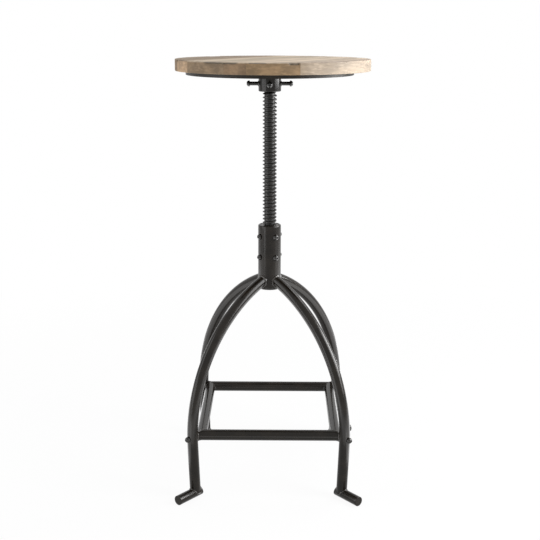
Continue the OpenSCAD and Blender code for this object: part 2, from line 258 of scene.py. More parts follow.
def lathe(profile: np.ndarray, segments: int = 96) -> Patch:
    """Turns a profile of points (r, z) about the Z axis: (r cos t, r sin t, z)."""
    return Patch(grid(*circle(profile[:, 0:1], segments), profile[:, 1:2]))


def tube_round(path: np.ndarray, radius: np.ndarray | float, segments: int,
               upright: np.ndarray, closed: bool = True) -> Patch:
    """Carries a circle along a path: p + r (n cos t + b sin t), with b = tangent x upright.

    Args:
        path: Points of the middle line, shape (n, 3).
        radius: One radius, or one for each point.
        segments: Faces round the circle.
        upright: A vector that is never along the path.
        closed: Whether the path closes on itself.

    Returns:
        The grid, one row for each point of the path.
    """
    if closed:
        tangent = np.roll(path, -1, axis=0) - np.roll(path, 1, axis=0)
    else:
        tangent = np.gradient(path, axis=0)
    tangent /= np.linalg.norm(tangent, axis=1, keepdims=True)
    side = np.cross(tangent, np.broadcast_to(upright, path.shape))
    side /= np.linalg.norm(side, axis=1, keepdims=True)
    normal = np.cross(side, tangent)
    across, over = (c[None, :, None] for c in circle(1.0, segments))
    size = np.broadcast_to(radius, len(path))[:, None, None]
    ring = normal[:, None, :] * across + side[:, None, :] * over
    return Patch(path[:, None, :] + size * ring, closed_rows=closed)


def bead_radius(count: int, radius: float, seed: int) -> np.ndarray:
    """The swelling of a weld bead along its length.

    r = radius (0.92 + 0.08 |sin(k s)| + 0.06 noise).

    Args:
        count: Points along the bead.
        radius: Its largest radius.
        seed: Which noise to read.

    Returns:
        One radius for each point.
    """
    s = np.arange(count) / count
    ripple = np.abs(np.sin(s * math.pi * max(6, count // 5)))
    return radius * (0.92 + 0.08 * ripple + 0.06 * value_noise(grid(s * 0.11, 0.0, 0.0),
                                                               9 * MM, seed))


def weld_bead(path: np.ndarray, radius: float, seed: int, segments: int,
              upright: np.ndarray) -> Patch:
    """A rippled bead along a closed path."""
    return tube_round(path, bead_radius(len(path), radius, seed), segments, upright)


# Finishes


class NodeKit:
    """A short way to write a node tree."""

    def __init__(self, tree: bpy.types.NodeTree) -> None:
        """Empties the tree."""
        self.tree = tree
        self.tree.nodes.clear()

    def node(self, kind: str, feeds: dict, **settings: object) -> bpy.types.Node:
        """Adds a node.

        Args:
            kind: Blender's name of its type, without "ShaderNode".
            feeds: A socket or a plain value for each input, by its name or number.
            settings: The node's own properties.

        Returns:
            The node.
        """
        made = self.tree.nodes.new(f"ShaderNode{kind}")
        for name, value in settings.items():
            setattr(made, name, value)
        for name, value in feeds.items():
            self.feed(made.inputs[name], value)
        return made

    def feed(self, target: Socket, value: object) -> None:
        """Links a socket, or sets it to a plain value, where a colour gets an alpha of 1.

        Args:
            target: The input socket.
            value: Another socket, a number or a tuple.
        """
        if isinstance(value, Socket):
            self.tree.links.new(value, target)
        else:
            target.default_value = (*value, 1.0) if target.type == "RGBA" else value

    def math(self, operation: str, first: object, second: object = 0.0) -> Socket:
        """One sum of two sockets or numbers, by Blender's name of the operation."""
        return self.node("Math", {0: first, 1: second}, operation=operation).outputs["Value"]

    def times(self, first: object, second: object) -> Socket:
        """The product of two sockets or numbers."""
        return self.math("MULTIPLY", first, second)

    def plus(self, first: object, second: object) -> Socket:
        """The sum of two sockets or numbers."""
        return self.math("ADD", first, second)

    def minus(self, first: object, second: object) -> Socket:
        """The first socket or number less the second."""
        return self.math("SUBTRACT", first, second)

    def length(self, x: Socket, y: Socket) -> Socket:
        """The length of the flat vector (x, y)."""
        return self.math("SQRT", self.plus(self.times(x, x), self.times(y, y)))

    def direct_ray(self) -> Socket:
        """1 for a camera, glossy or transmission ray, and otherwise 0.

        Returns:
            The value.
        """
        rays = self.node("LightPath", {}).outputs
        seen = self.math("MAXIMUM", rays["Is Camera Ray"], rays["Is Glossy Ray"])
        return self.math("MAXIMUM", seen, rays["Is Transmission Ray"])

    def blended(self, amount: Socket, first: Socket, second: Socket) -> Socket:
        """A mix of two shaders."""
        return self.node("MixShader", {0: amount, 1: first, 2: second}).outputs["Shader"]


class Shader(NodeKit):
    """A material that ends in a Principled shader, read at Object coordinates."""

    def __init__(self, name: str) -> None:
        """Starts an empty material with an output and a Principled shader.

        Args:
            name: The material's name.
        """
        self.material = bpy.data.materials.new(name)
        self.material.use_nodes = True
        super().__init__(self.material.node_tree)
        self.surface = self.node("BsdfPrincipled", {})
        self.output = self.node("OutputMaterial", {"Surface": self.surface.outputs["BSDF"]})
        self.object_point = self.node("TexCoord", {}).outputs["Object"]

    def finished(self, feeds: dict) -> bpy.types.Material:
        """Feeds the Principled shader's inputs by name.

        Args:
            feeds: A socket or a plain value for each input.

        Returns:
            The material.
        """
        for name, value in feeds.items():
            self.feed(self.surface.inputs[name], value)
        return self.material

    def mapped(self, point: Socket, move: tuple = (0, 0, 0), turn_z: float = 0.0,
               scale: tuple = (1, 1, 1)) -> Socket:
        """A position stretched, turned about Z by an angle in radians, and then moved."""
        return self.node("Mapping", {"Vector": point, "Location": move, "Scale": scale,
                                     "Rotation": (0.0, 0.0, turn_z)}).outputs["Vector"]

    def noise(self, point: Socket, scale: float, detail: float = 3.0, rough: float = 0.5,
              distortion: float = 0.0) -> Socket:
        """Cloudy noise from 0 to 1, with so many cells in a metre and so many octaves."""
        return self.node("TexNoise", {"Vector": point, "Scale": scale, "Detail": detail,
                                      "Roughness": rough, "Distortion": distortion}).outputs["Fac"]

    def between(self, value: Socket, low: float, high: float, to_low: float = 0.0,
                to_high: float = 1.0) -> Socket:
        """Maps one range of values smoothly to another.

        Args:
            value: The value.
            low: Where the first range starts.
            high: Where it ends.
            to_low: What low becomes.
            to_high: What high becomes.

        Returns:
            The mapped value.
        """
        feeds = {"Value": value, "From Min": low, "From Max": high, "To Min": to_low,
                 "To Max": to_high}
        return self.node("MapRange", feeds, interpolation_type="SMOOTHSTEP").outputs["Result"]

    def mixed(self, amount: object, first: object, second: object, blend: str = "MIX") -> Socket:
        """Blends two colours.

        Args:
            amount: How much of the second, 0 to 1.
            first: First colour, a socket or (r, g, b).
            second: Second colour, a socket or (r, g, b).
            blend: Blender's name of the blend.

        Returns:
            The blended colour.
        """
        node = self.node("Mix", {"Factor": amount}, data_type="RGBA", blend_type=blend)
        colours = [socket for socket in node.inputs if socket.type == "RGBA"]
        for socket, colour in zip(colours, (first, second)):
            self.feed(socket, colour)
        return next(socket for socket in node.outputs if socket.type == "RGBA")

    def layered(self, tone: object, *layers: tuple) -> Socket:
        """Lays colours over a tone, one after another.

        Args:
            tone: The first colour.
            layers: For each colour its mask, how much of it there is at most, and the colour.

        Returns:
            The last blend.
        """
        for mask, amount, colour in layers:
            tone = self.mixed(self.times(mask, amount), tone, colour)
        return tone

    def relief(self, *layers: tuple) -> Socket:
        """Tilts the surface by heights that lie on each other.

        Args:
            layers: For each height its socket, 0 to 1, and what 1 is in metres.

        Returns:
            The tilted normal.
        """
        below = {}
        for height, depth in layers:
            node = self.node("Bump", {"Strength": 1.0, "Distance": depth, "Height": height,
                                      **below})
            below = {"Normal": node.outputs["Normal"]}
        return below["Normal"]

    def split(self, vector: Socket) -> tuple:
        """The X, Y and Z of a vector, as three sockets."""
        node = self.node("SeparateXYZ", {"Vector": vector})
        return tuple(node.outputs[k] for k in ("X", "Y", "Z"))

    def gather(self, x: object, y: object, z: object) -> Socket:
        """A vector from three sockets or numbers."""
        return self.node("CombineXYZ", {"X": x, "Y": y, "Z": z}).outputs["Vector"]

    def grain(self, place: tuple, stretch: float, *noise: float) -> Socket:
        """Noise drawn out along the first of a place's three coordinates."""
        return self.noise(self.gather(self.times(place[0], stretch), *place[1:]), *noise)


def scaled(colour: tuple, *levels: float) -> tuple:
    """A colour made darker or lighter by one factor, or by one for each channel."""
    return tuple(min(0.9, c * level) for c, level in zip(colour, levels * (3 // len(levels))))


@dataclass(frozen=True)
class WeatheredWood:
    """Old boards: rings about a pith line, fibres, pores and stains, a browner sawn rim, and the
    seat's wear with painted shade in its chips.
    """

    name: str
    tone: tuple
    rim: tuple
    contrast: float
    stain: float
    turn: float
    pith_across: float
    pith_below: float
    top: float
    joint: float
    joint_brown: float
    seed: float

    def build(self) -> bpy.types.Material:
        """Rings are bands of the distance from the pith line, which runs along the board.

        Returns:
            The material.
        """
        s = Shader(self.name)
        board = s.mapped(s.object_point, turn_z=-self.turn)
        place = along, across, up = s.split(board)
        bent = s.times(s.minus(s.grain(place, 0.16, 16.0, 3.0), 0.5), 0.055)
        side = s.minus(s.plus(across, bent), self.pith_across)
        ring = s.length(side, s.plus(s.minus(up, self.pith_below), s.times(along, 0.09)))
        uneven = s.noise(s.gather(0.0, 0.0, ring), 240.0 + self.seed, 2.0, 0.6)
        band = s.math("FRACT", s.plus(s.times(ring, 150.0), s.times(uneven, 2.2)))
        growth = s.between(band, 0.25, 1.0)
        fibre = s.grain(place, 0.045, 1300.0, 3.0, 0.6)
        streak = s.grain(place, 0.07, 120.0, 3.0, 0.55)
        pore = s.between(s.grain(place, 0.10, 1900.0, 1.0), 0.68, 0.82)
        broad = s.grain((along, s.plus(across, self.seed), up), 0.15, 30.0, 2.0, 0.5)
        cloud = s.noise(s.mapped(board, (self.seed, 0.3 * self.seed, 0.0), 0.0, (0.40, 1.0, 1.0)),
                        26.0, 3.0, 0.5)
        patina = s.noise(s.mapped(board, (0.0, self.seed, 1.0), 0.0, (0.45, 0.8, 1.3)),
                         60.0, 3.0, 0.55, 0.4)
        mottle = s.noise(s.mapped(board, (1.0, self.seed, 0.0), 0.0, (0.22, 0.5, 1.5)),
                         170.0, 3.0, 0.6, 0.3)

        contrast = self.contrast
        tone = s.layered(
            s.mixed(s.between(cloud, 0.34, 0.66), scaled(self.tone, 1.0 - contrast),
                    scaled(self.tone, 1.0 + contrast)),
            (s.between(streak, 0.36, 0.66), 0.50, scaled(self.tone, 1.0 + 1.5 * contrast)),
            (s.between(broad, 0.56, 0.42), 0.65, scaled(self.tone, 1.0 - 1.9 * contrast)),
            (growth, 0.22, scaled(self.tone, 0.55)),
            (s.between(fibre, 0.50, 0.75), 0.14, scaled(self.tone, 1.30)),
            (s.between(cloud, 0.48, 0.76), self.stain, scaled(self.tone, 0.50, 0.49, 0.52)),
            (pore, 0.40, scaled(self.tone, 0.40)))
        edge = tuple(a * b for a, b in zip(self.tone, self.rim))
        sawn = s.layered(
            s.mixed(1.0, tone, self.rim, "MULTIPLY"),
            (s.between(patina, 0.44, 0.66), 0.50, scaled(edge, 0.60)),
            (s.between(mottle, 0.48, 0.70), 0.45, scaled(edge, 1.45)))
        near = s.between(across, self.joint - 15.0 * MM, self.joint + 2.0 * MM, 0.0,
                         self.joint_brown)
        sawn = s.mixed(near, sawn, scaled(edge, 0.42, 0.38, 0.31))
        on_rim = s.between(up, self.top - 2.4 * MM, self.top - 1.1 * MM, 1.0, 0.0)
        # wear at the cracks and the nibbled rim, and painted shade in the chips, darken the colour
        wear = s.node("Attribute", {}, attribute_name="wear").outputs["Fac"]
        return s.finished({
            "Base Color": s.layered(s.mixed(on_rim, tone, sawn),
                                    (s.between(wear, 0.0, 1.0), 0.80, scaled(self.tone, 0.14))),
            "Roughness": s.between(streak, 0.2, 0.8, 0.58, 0.78),
            "Specular IOR Level": 0.30,
            "Normal": s.relief((growth, 0.12 * MM), (fibre, 0.10 * MM),
                               (s.minus(1.0, pore), 0.14 * MM))})


@dataclass(frozen=True)
class SatinSteel:
    """Dark lacquered steel with clouds, rubbed spots and fine scratches."""

    name: str
    dark: tuple
    rubbed: tuple
    metallic: float
    specular: float
    rough_low: float
    rough_high: float
    grain: float
    rub: float

    def build(self) -> bpy.types.Material:
        """Clouds move the colour and the gloss, and a fine grain tilts the surface.

        Returns:
            The material.
        """
        s = Shader(self.name)
        cloud = s.noise(s.object_point, 38.0, 4.0, 0.6)
        speck = s.noise(s.object_point, 520.0, 3.0, 0.65)
        scratch = s.noise(s.mapped(s.object_point, scale=(1.0, 1.0, 0.10)), 900.0, 2.0, 0.6)
        tone = s.mixed(s.between(cloud, 0.35, 0.70), self.dark, scaled(self.dark, 1.8))
        rubbed = s.times(s.between(speck, 0.58, 0.84), s.between(cloud, 0.45, 0.75))
        gloss = s.plus(s.times(cloud, 0.6), s.times(scratch, 0.4))
        return s.finished({
            "Base Color": s.layered(tone, (rubbed, self.rub, self.rubbed)),
            "Metallic": self.metallic,
            "Specular IOR Level": self.specular,
            "Roughness": s.between(gloss, 0.30, 0.70, self.rough_low, self.rough_high),
            "Normal": s.relief((speck, self.grain), (scratch, 0.4 * self.grain))})


@dataclass(frozen=True)
class ThreadSteel:
    """The spindle's steel: painted shade in the thread's roots and a painted highlight on its
    crests.
    """

    name: str
    axis_x: float
    root_radius: float
    crest_radius: float

    def build(self) -> bpy.types.Material:
        """The distance from the screw's axis tells crest from root.

        Returns:
            The material.
        """
        s = Shader(self.name)
        x, y, _ = s.split(s.object_point)
        rise = s.between(s.length(s.minus(x, self.axis_x), y), self.root_radius + 0.5 * MM,
                         self.crest_radius - 0.1 * MM)
        cloud = s.noise(s.object_point, 90.0, 4.0, 0.6)
        speck = s.noise(s.object_point, 700.0, 3.0, 0.7)
        # 0 in the roots, where shade is painted, up to 1 on the crests, where a highlight is
        # painted
        painted_crest_light = s.times(rise, s.between(cloud, 0.30, 0.75, 0.35, 1.0))
        tone = s.mixed(painted_crest_light, (0.003, 0.0026, 0.002), (0.030, 0.027, 0.023))
        return s.finished({
            "Base Color": s.layered(tone, (s.between(speck, 0.60, 0.80), 0.4,
                                           (0.022, 0.016, 0.011))),
            "Specular IOR Level": 0.38,
            "Roughness": s.between(s.plus(s.times(speck, 0.5), rise), 0.2, 1.3, 0.42, 0.18),
            "Normal": s.relief((speck, 0.03 * MM))})


class Finish(Enum):
    """The finishes that don't depend on the frame."""

    FRAME_STEEL = SatinSteel("frame_steel", (0.0066, 0.0050, 0.0034), (0.030, 0.027, 0.022),
                             0.0, 0.25, 0.15, 0.24, 0.000002, 0.16)
    PLATE_STEEL = SatinSteel("plate_steel", (0.012, 0.010, 0.007), (0.055, 0.050, 0.042),
                             0.0, 0.22, 0.36, 0.50, 0.00003, 0.35)
    WELD_STEEL = SatinSteel("weld_steel", (0.014, 0.011, 0.008), (0.085, 0.078, 0.068),
                            0.0, 0.55, 0.16, 0.30, 0.00003, 0.50)
    BOLT_STEEL = SatinSteel("bolt_steel", (0.0050, 0.0040, 0.0028), (0.060, 0.056, 0.048),
                            0.0, 0.45, 0.14, 0.26, 0.000012, 0.45)
    ZINC_STEEL = SatinSteel("zinc_steel", (0.20, 0.20, 0.195), (0.42, 0.42, 0.41),
                            0.85, 0.50, 0.28, 0.45, 0.00004, 0.50)
    NUT_STEEL = SatinSteel("nut_steel", (0.085, 0.080, 0.072), (0.24, 0.23, 0.21),
                           0.70, 0.50, 0.30, 0.48, 0.00005, 0.45)


# The stool's sizes, and where its pieces are put together


@dataclass(frozen=True)
class StoolFrame:
    """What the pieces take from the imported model, in metres."""

    axis_x: float
    seat_low: float
    seat_high: float
    seat_radius: float
    plate_low: float
    hub_low: float
    hub_high: float
    hub_radius: float
    spindle_low: float
    spindle_high: float
    sleeve_low: float
    sleeve_high: float
    sleeve_radius: float
    rail_height: float
    rail_half: float
    rail_radius: float
    foot_radius: float

    @classmethod
    def read(cls, frame: dict) -> "StoolFrame":
        """Reads the boxes of the CAD nodes and the screw's axis.


        Returns:
            The sizes.
        """
        turn = next(j for j in frame["joints"] if j["name"] == "seat_turn")
        boards = [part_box(f"seat_board_{k}") for k in range(1, 7)]
        plate, hub, spindle, sleeve, rail, foot = (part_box(node) for node in (
            "seat_plate", "seat_hub", "spindle", "sleeve", "rail_front", "foot_front_right"))
        return cls(
            axis_x=turn["pos_m"][0],
            seat_low=min(b[0].z for b in boards),
            seat_high=max(b[1].z for b in boards),
            seat_radius=0.5 * (max(b[1].y for b in boards) - min(b[0].y for b in boards)),
            plate_low=plate[0].z,
            hub_low=hub[0].z,
            hub_high=hub[1].z,
            hub_radius=0.5 * (hub[1].x - hub[0].x),
            spindle_low=spindle[0].z,
            spindle_high=spindle[1].z,
            sleeve_low=sleeve[0].z,
            sleeve_high=sleeve[1].z,
            sleeve_radius=0.5 * (sleeve[1].x - sleeve[0].x),
            rail_height=0.5 * (rail[0].z + rail[1].z),
            rail_half=-0.5 * (rail[0].y + rail[1].y),
            rail_radius=0.5 * (rail[1].z - rail[0].z),
            foot_radius=0.5 * (foot[1].z - foot[0].z),
        )


@dataclass
class Workshop:
    """Puts the pieces together, dresses them and hangs them on their bodies."""

    frame: StoolFrame
    made: dict[str, bpy.types.Material] = field(default_factory=dict)

    def material(self, finish: object) -> bpy.types.Material:
        """The material of a finish, made once.

        Args:
            finish: A Finish member or a finish of its own.

        Returns:
            The material.
        """
        recipe = finish.value if isinstance(finish, Finish) else finish
        if recipe.name not in self.made:
            self.made[recipe.name] = recipe.build()
        return self.made[recipe.name]

    def add(self, name: str, patches: list[Patch], finish: object, body: Body,
            slot: str = "dark_steel", node: str | None = None, sharp_degrees: float = 35.0,
            middle_x: float | None = None) -> None:
        """Makes a piece, hangs it on its body and hides the solid that it stands for.

        Args:
            name: The piece's name.
            patches: Its grids, drawn about the Z axis.
            finish: Its finish.
            body: The CAD body that carries it.
            slot: The record's material slot; it is not used.
            node: The CAD node that it replaces, if any.
            sharp_degrees: Edges that bend more than this stay sharp.
            middle_x: Where the Z axis of the drawing stands, if not on the screw's axis.
        """
        shift = self.frame.axis_x if middle_x is None else middle_x
        mesh = join_patches(name, [patch.moved(x=shift) for patch in patches], sharp_degrees)
        mesh.materials.append(self.material(finish))
        piece = bpy.data.objects.new(name, mesh)
        bpy.context.scene.collection.objects.link(piece)
        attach(piece, body.value)
        if node is not None:
            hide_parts(node)
        LOG.info("%s: %d faces", name, len(mesh.polygons))


# The wooden seat


@dataclass(frozen=True)
class BoardLook:
    """A board's wood: its tone, what the rim makes of it, and how uneven and stained it is."""

    slot: str
    tone: tuple
    rim: tuple
    contrast: float
    stain: float
    joint_brown: float = 0.0


@dataclass(frozen=True)
class Board:
    """One seat board: its place across the seat and its wood."""

    left: float
    right: float
    wood: WeatheredWood


@dataclass(frozen=True)
class Chip:
    """A place on the upper rim where some wood has broken away, its hollow darkened by painted
    shade.
    """

    bearing: float
    half_width: float
    depth: float
    bite: float
    # how dark the hollow is painted, as shade, from 0 to 1
    painted_shade: float


@dataclass
class Seat:
    """The round top, cut from boards that were glued side by side."""

    shop: Workshop
    board_angle: float = 58.0
    first_joint: float = -111.0 * MM
    widths: tuple = (40 * MM, 86 * MM, 39 * MM, 75 * MM)
    glue_line: float = 0.2 * MM
    rim_ease: float = 1.0 * MM
    joint_ease: float = 0.5 * MM
    joint_reach: float = 1.1 * MM
    rim_reach: float = 4.0 * MM
    pith_swing: tuple = (-9 * MM, 12 * MM)
    pith_depth: float = 30 * MM
    pith_step: float = 11 * MM
    seed_step: float = 1.7
    grain_stretch: float = 0.12
    dip_size: float = 9 * MM
    dip_depth: float = 0.16 * MM
    fine_size: float = 2.5 * MM
    fine_depth: float = 0.07 * MM
    wave_size: float = 26 * MM
    nibble_size: float = 5 * MM
    nibble_depth: float = 0.7 * MM
    rim_waves: float = 0.35 * MM
    rim_fine: float = 0.18 * MM
    rim_nibble: float = 0.5 * MM
    joint_under: float = 0.1 * MM
    chip_rough_size: float = 3 * MM
    row_easing: float = 0.72
    rows_across: int = 44
    columns_along: int = 150
    columns_rim: int = 12
    looks: tuple = (
        BoardLook("wood_grey_brown", (0.265, 0.200, 0.135), (0.98, 0.88, 0.78), 0.19, 0.45),
        BoardLook("wood_mid_brown", (0.290, 0.214, 0.146), (1.53, 1.42, 1.28), 0.21, 0.45),
        BoardLook("wood_mid_brown", (0.460, 0.375, 0.277), (0.52, 0.445, 0.355), 0.20, 0.32),
        BoardLook("wood_tan", (0.510, 0.414, 0.310), (0.50, 0.405, 0.310), 0.19, 0.28),
        BoardLook("wood_pale", (0.510, 0.415, 0.315), (0.540, 0.440, 0.312), 0.20, 0.24),
        BoardLook("wood_pale", (0.463, 0.370, 0.285), (1.00, 1.00, 0.97), 0.18, 0.16, 0.55),
    )
    # each chip's last number is the shade painted into its hollow; the wide shallow chips at -120
    # and -98 degrees paint a shadow line under the rim's top edge
    chips: tuple = (Chip(-78.3, 10.5 * MM, 3.2 * MM, 2.2 * MM, 1.0),
                    Chip(-117.0, 4.5 * MM, 2.0 * MM, 1.4 * MM, 0.9),
                    Chip(-120.0, 38.0 * MM, 2.4 * MM, 0.7 * MM, 1.0),
                    Chip(-98.0, 18.0 * MM, 1.8 * MM, 0.6 * MM, 0.9),
                    Chip(-161.0, 5.0 * MM, 2.2 * MM, 1.6 * MM, 0.9),
                    Chip(24.0, 8.0 * MM, 1.6 * MM, 1.2 * MM, 0.8),
                    Chip(131.0, 14.0 * MM, 2.0 * MM, 1.3 * MM, 0.8))

    def boards(self) -> list[Board]:
        """The boards from the rear left to the front right.

        Returns:
            One Board for each CAD node.
        """
        f = self.shop.frame
        joints = self.first_joint + np.cumsum((0.0, *self.widths))
        edges = np.concatenate([[-f.seat_radius], joints, [f.seat_radius]])
        boards = []
        for k, look in enumerate(self.looks):
            wood = WeatheredWood(
                f"board_wood_{k + 1}", look.tone, look.rim, look.contrast, look.stain,
                turn=math.radians(self.board_angle),
                pith_across=self.pith_swing[k % 2] - 0.5 * (edges[k] + edges[k + 1]),
                pith_below=f.seat_low - (self.pith_depth + self.pith_step * (k % 3)),
                top=f.seat_high, joint=-edges[k], joint_brown=look.joint_brown,
                seed=self.seed_step * k)
            boards.append(Board(edges[k], edges[k + 1], wood))
        return boards

    def section(self) -> tuple[np.ndarray, np.ndarray, np.ndarray]:
        """The upright section of a board along its length, as one closed loop.

        share is the place along a flat face from -1 to 1, inset is how far the round rim
        stands in from the full radius, e (1 - cos a), and height goes with it, e sin a.

        Returns:
            share, inset and height, each of shape (columns,).
        """
        low, high, ease = self.shop.frame.seat_low, self.shop.frame.seat_high, self.rim_ease
        flat = np.linspace(-1.0, 1.0, self.columns_along)
        bend = arc_points(ease, 0.0, 90.0, self.columns_rim)
        wall = np.linspace(0.0, 1.0, self.columns_rim)[1:-1]
        rim_inset = np.concatenate([ease - bend[::-1, 0], np.zeros_like(wall),
                                    ease - bend[:, 0]])
        rim_height = np.concatenate([high - ease + bend[::-1, 1],
                                     high - ease - wall * (high - low - 2.0 * ease),
                                     low + ease - bend[:, 1]])
        edge = np.ones_like(rim_inset)
        share = np.concatenate([flat, edge, flat[::-1], -edge])
        inset = np.concatenate([np.full_like(flat, ease), rim_inset,
                                np.full_like(flat, ease), rim_inset[::-1]])
        height = np.concatenate([np.full_like(flat, high), rim_height,
                                 np.full_like(flat, low), rim_height[::-1]])
        return share, inset, height

    def board_points(self, board: Board) -> tuple[np.ndarray, np.ndarray]:
        """A board's surface: rows across its width, the section's loop along it.

        The half length of the row at d is sqrt((R - inset)^2 - d^2). The first and the last
        board end at d = R - inset, where that is nothing.

        Args:
            board: The board.

        Returns:
            Points of shape (rows, columns, 3) and how far each is from a glue line.
        """
        radius, gap = self.shop.frame.seat_radius, 0.5 * self.glue_line
        share, inset, height = self.section()
        reach = radius - inset
        first, last = board.left <= -radius + MM, board.right >= radius - MM
        left = -reach if first else np.full_like(reach, board.left + gap)
        right = reach if last else np.full_like(reach, board.right - gap)
        step = np.linspace(0.0, 1.0, self.rows_across)
        eased = 0.5 - 0.5 * np.cos(math.pi * step)
        d = left + (right - left) * (step + self.row_easing * (eased - step))[:, None]
        half = np.sqrt(np.maximum(reach ** 2 - d ** 2, 0.0))
        from_joint = np.minimum(np.inf if first else d - left, np.inf if last else right - d)
        return grid(half * share, -d, height), from_joint

    def weather(self, points: np.ndarray, from_joint: np.ndarray,
                seed: int) -> tuple[np.ndarray, np.ndarray]:
        """Wears a board: dips along the grain, rounded joints, a nibbled upper rim.

        Every move is inwards, so the board stays inside its solid.

        Args:
            points: The board's points before it is turned to its angle.
            from_joint: Distance from the nearest glue line.
            seed: Which noise to read.

        Returns:
            The worn points, and the wear with the chips' painted shade from 0 to 1.
        """
        f, height = self.shop.frame, points[..., 2]
        radius = np.hypot(points[..., 0], points[..., 1])
        stretched = points * np.array([self.grain_stretch, 1.0, 1.0])
        dips = share_noise(stretched, self.dip_size, seed)
        fine = share_noise(stretched, self.fine_size, seed + 7)
        waves = share_noise(points, self.wave_size, seed + 13)
        on_top = smooth_step(height, f.seat_high - 2.0 * MM, f.seat_high)
        under = smooth_step(-height, -f.seat_low - 1.0 * MM, -f.seat_low)
        joint = np.clip(1.0 - from_joint / self.joint_reach, 0.0, 1.0) ** 2
        rim = smooth_step(radius, f.seat_radius - self.rim_reach, f.seat_radius)
        nibble = smooth_step(value_noise(points, self.nibble_size, seed + 3), 0.15, 0.85)
        drop = on_top * (self.dip_depth * dips + self.fine_depth * fine + self.joint_ease * joint
                         + self.nibble_depth * rim * nibble)
        chip_drop, chip_bite, chip_painted_shade = self.chipped(points)
        worn = points.copy()
        worn[..., 2] += self.joint_under * under * joint - drop - chip_drop
        upper = smooth_step(height, 0.5 * (f.seat_low + f.seat_high), f.seat_high)
        shrink = rim * (self.rim_waves * waves + self.rim_fine * fine
                        + self.rim_nibble * nibble * upper)
        scale = 1.0 - (shrink + chip_bite) / np.maximum(radius, 1 * MM)
        worn[..., 0] *= scale
        worn[..., 1] *= np.where(from_joint > 2 * self.glue_line, scale, 1.0)
        crack = joint * (0.6 + 0.4 * waves)
        wear = np.clip(on_top * crack + 0.55 * rim * on_top * nibble, 0.0, 1.0)
        return worn, np.maximum(wear, chip_painted_shade)

    def chipped(self, points: np.ndarray) -> tuple[np.ndarray, np.ndarray, np.ndarray]:
        """How far each point sinks and moves in at the chips in the upper rim, and the shade
        painted in their hollows.

        A chip's share is 1 in the middle of its width, at the full radius and at the top, and
        falls smoothly to 0 along the rim, inwards over four depths and down over two.

        Args:
            points: The board's points before it is turned to its angle.

        Returns:
            The drop and the bite in metres, and the painted shade from 0 to 1.
        """
        f = self.shop.frame
        radius = np.hypot(points[..., 0], points[..., 1])
        bearing = np.arctan2(points[..., 1], points[..., 0]) + math.radians(self.board_angle)
        drop, bite, painted_shade = (np.zeros_like(radius) for _ in range(3))
        rough = 0.75 + 0.25 * value_noise(points, self.chip_rough_size, 91)
        for chip in self.chips:
            swing = np.mod(bearing - math.radians(chip.bearing) + math.pi, FULL_TURN) - math.pi
            share = 1.0 - smooth_step(np.abs(swing) * radius, 0.7 * chip.half_width,
                                      chip.half_width)
            share = share * smooth_step(radius, f.seat_radius - 4.0 * chip.depth,
                                        f.seat_radius - 0.5 * chip.depth)
            share = share * smooth_step(points[..., 2], f.seat_high - 2.0 * chip.depth,
                                        f.seat_high)
            drop += rough * share * chip.depth
            bite += rough * share * chip.bite
            painted_shade = np.maximum(painted_shade, share * chip.painted_shade)
        return drop, bite, painted_shade

    def build(self) -> None:
        """Makes each board, lays it at the boards' angle and walls it at its glue lines."""
        for k, board in enumerate(self.boards()):
            points, from_joint = self.board_points(board)
            worn, wear = self.weather(points, from_joint, 11 * k + 1)
            top = Patch(worn, tint=wear).turned(self.board_angle)
            half = top.points.shape[1] // 2
            walls = [Patch(np.stack([top.points[row, :half], top.points[row, half:][::-1]]),
                           closed_columns=False)
                     for row, edge in ((0, board.left), (-1, board.right))
                     if abs(edge) < self.shop.frame.seat_radius - MM]
            self.shop.add(f"worn_board_{k + 1}", [top] + walls, board.wood, Body.SEAT,
                          self.looks[k].slot, f"seat_board_{k + 1}", 40.0, middle_x=0.0)


# The threaded spindle, its hub and its sleeve


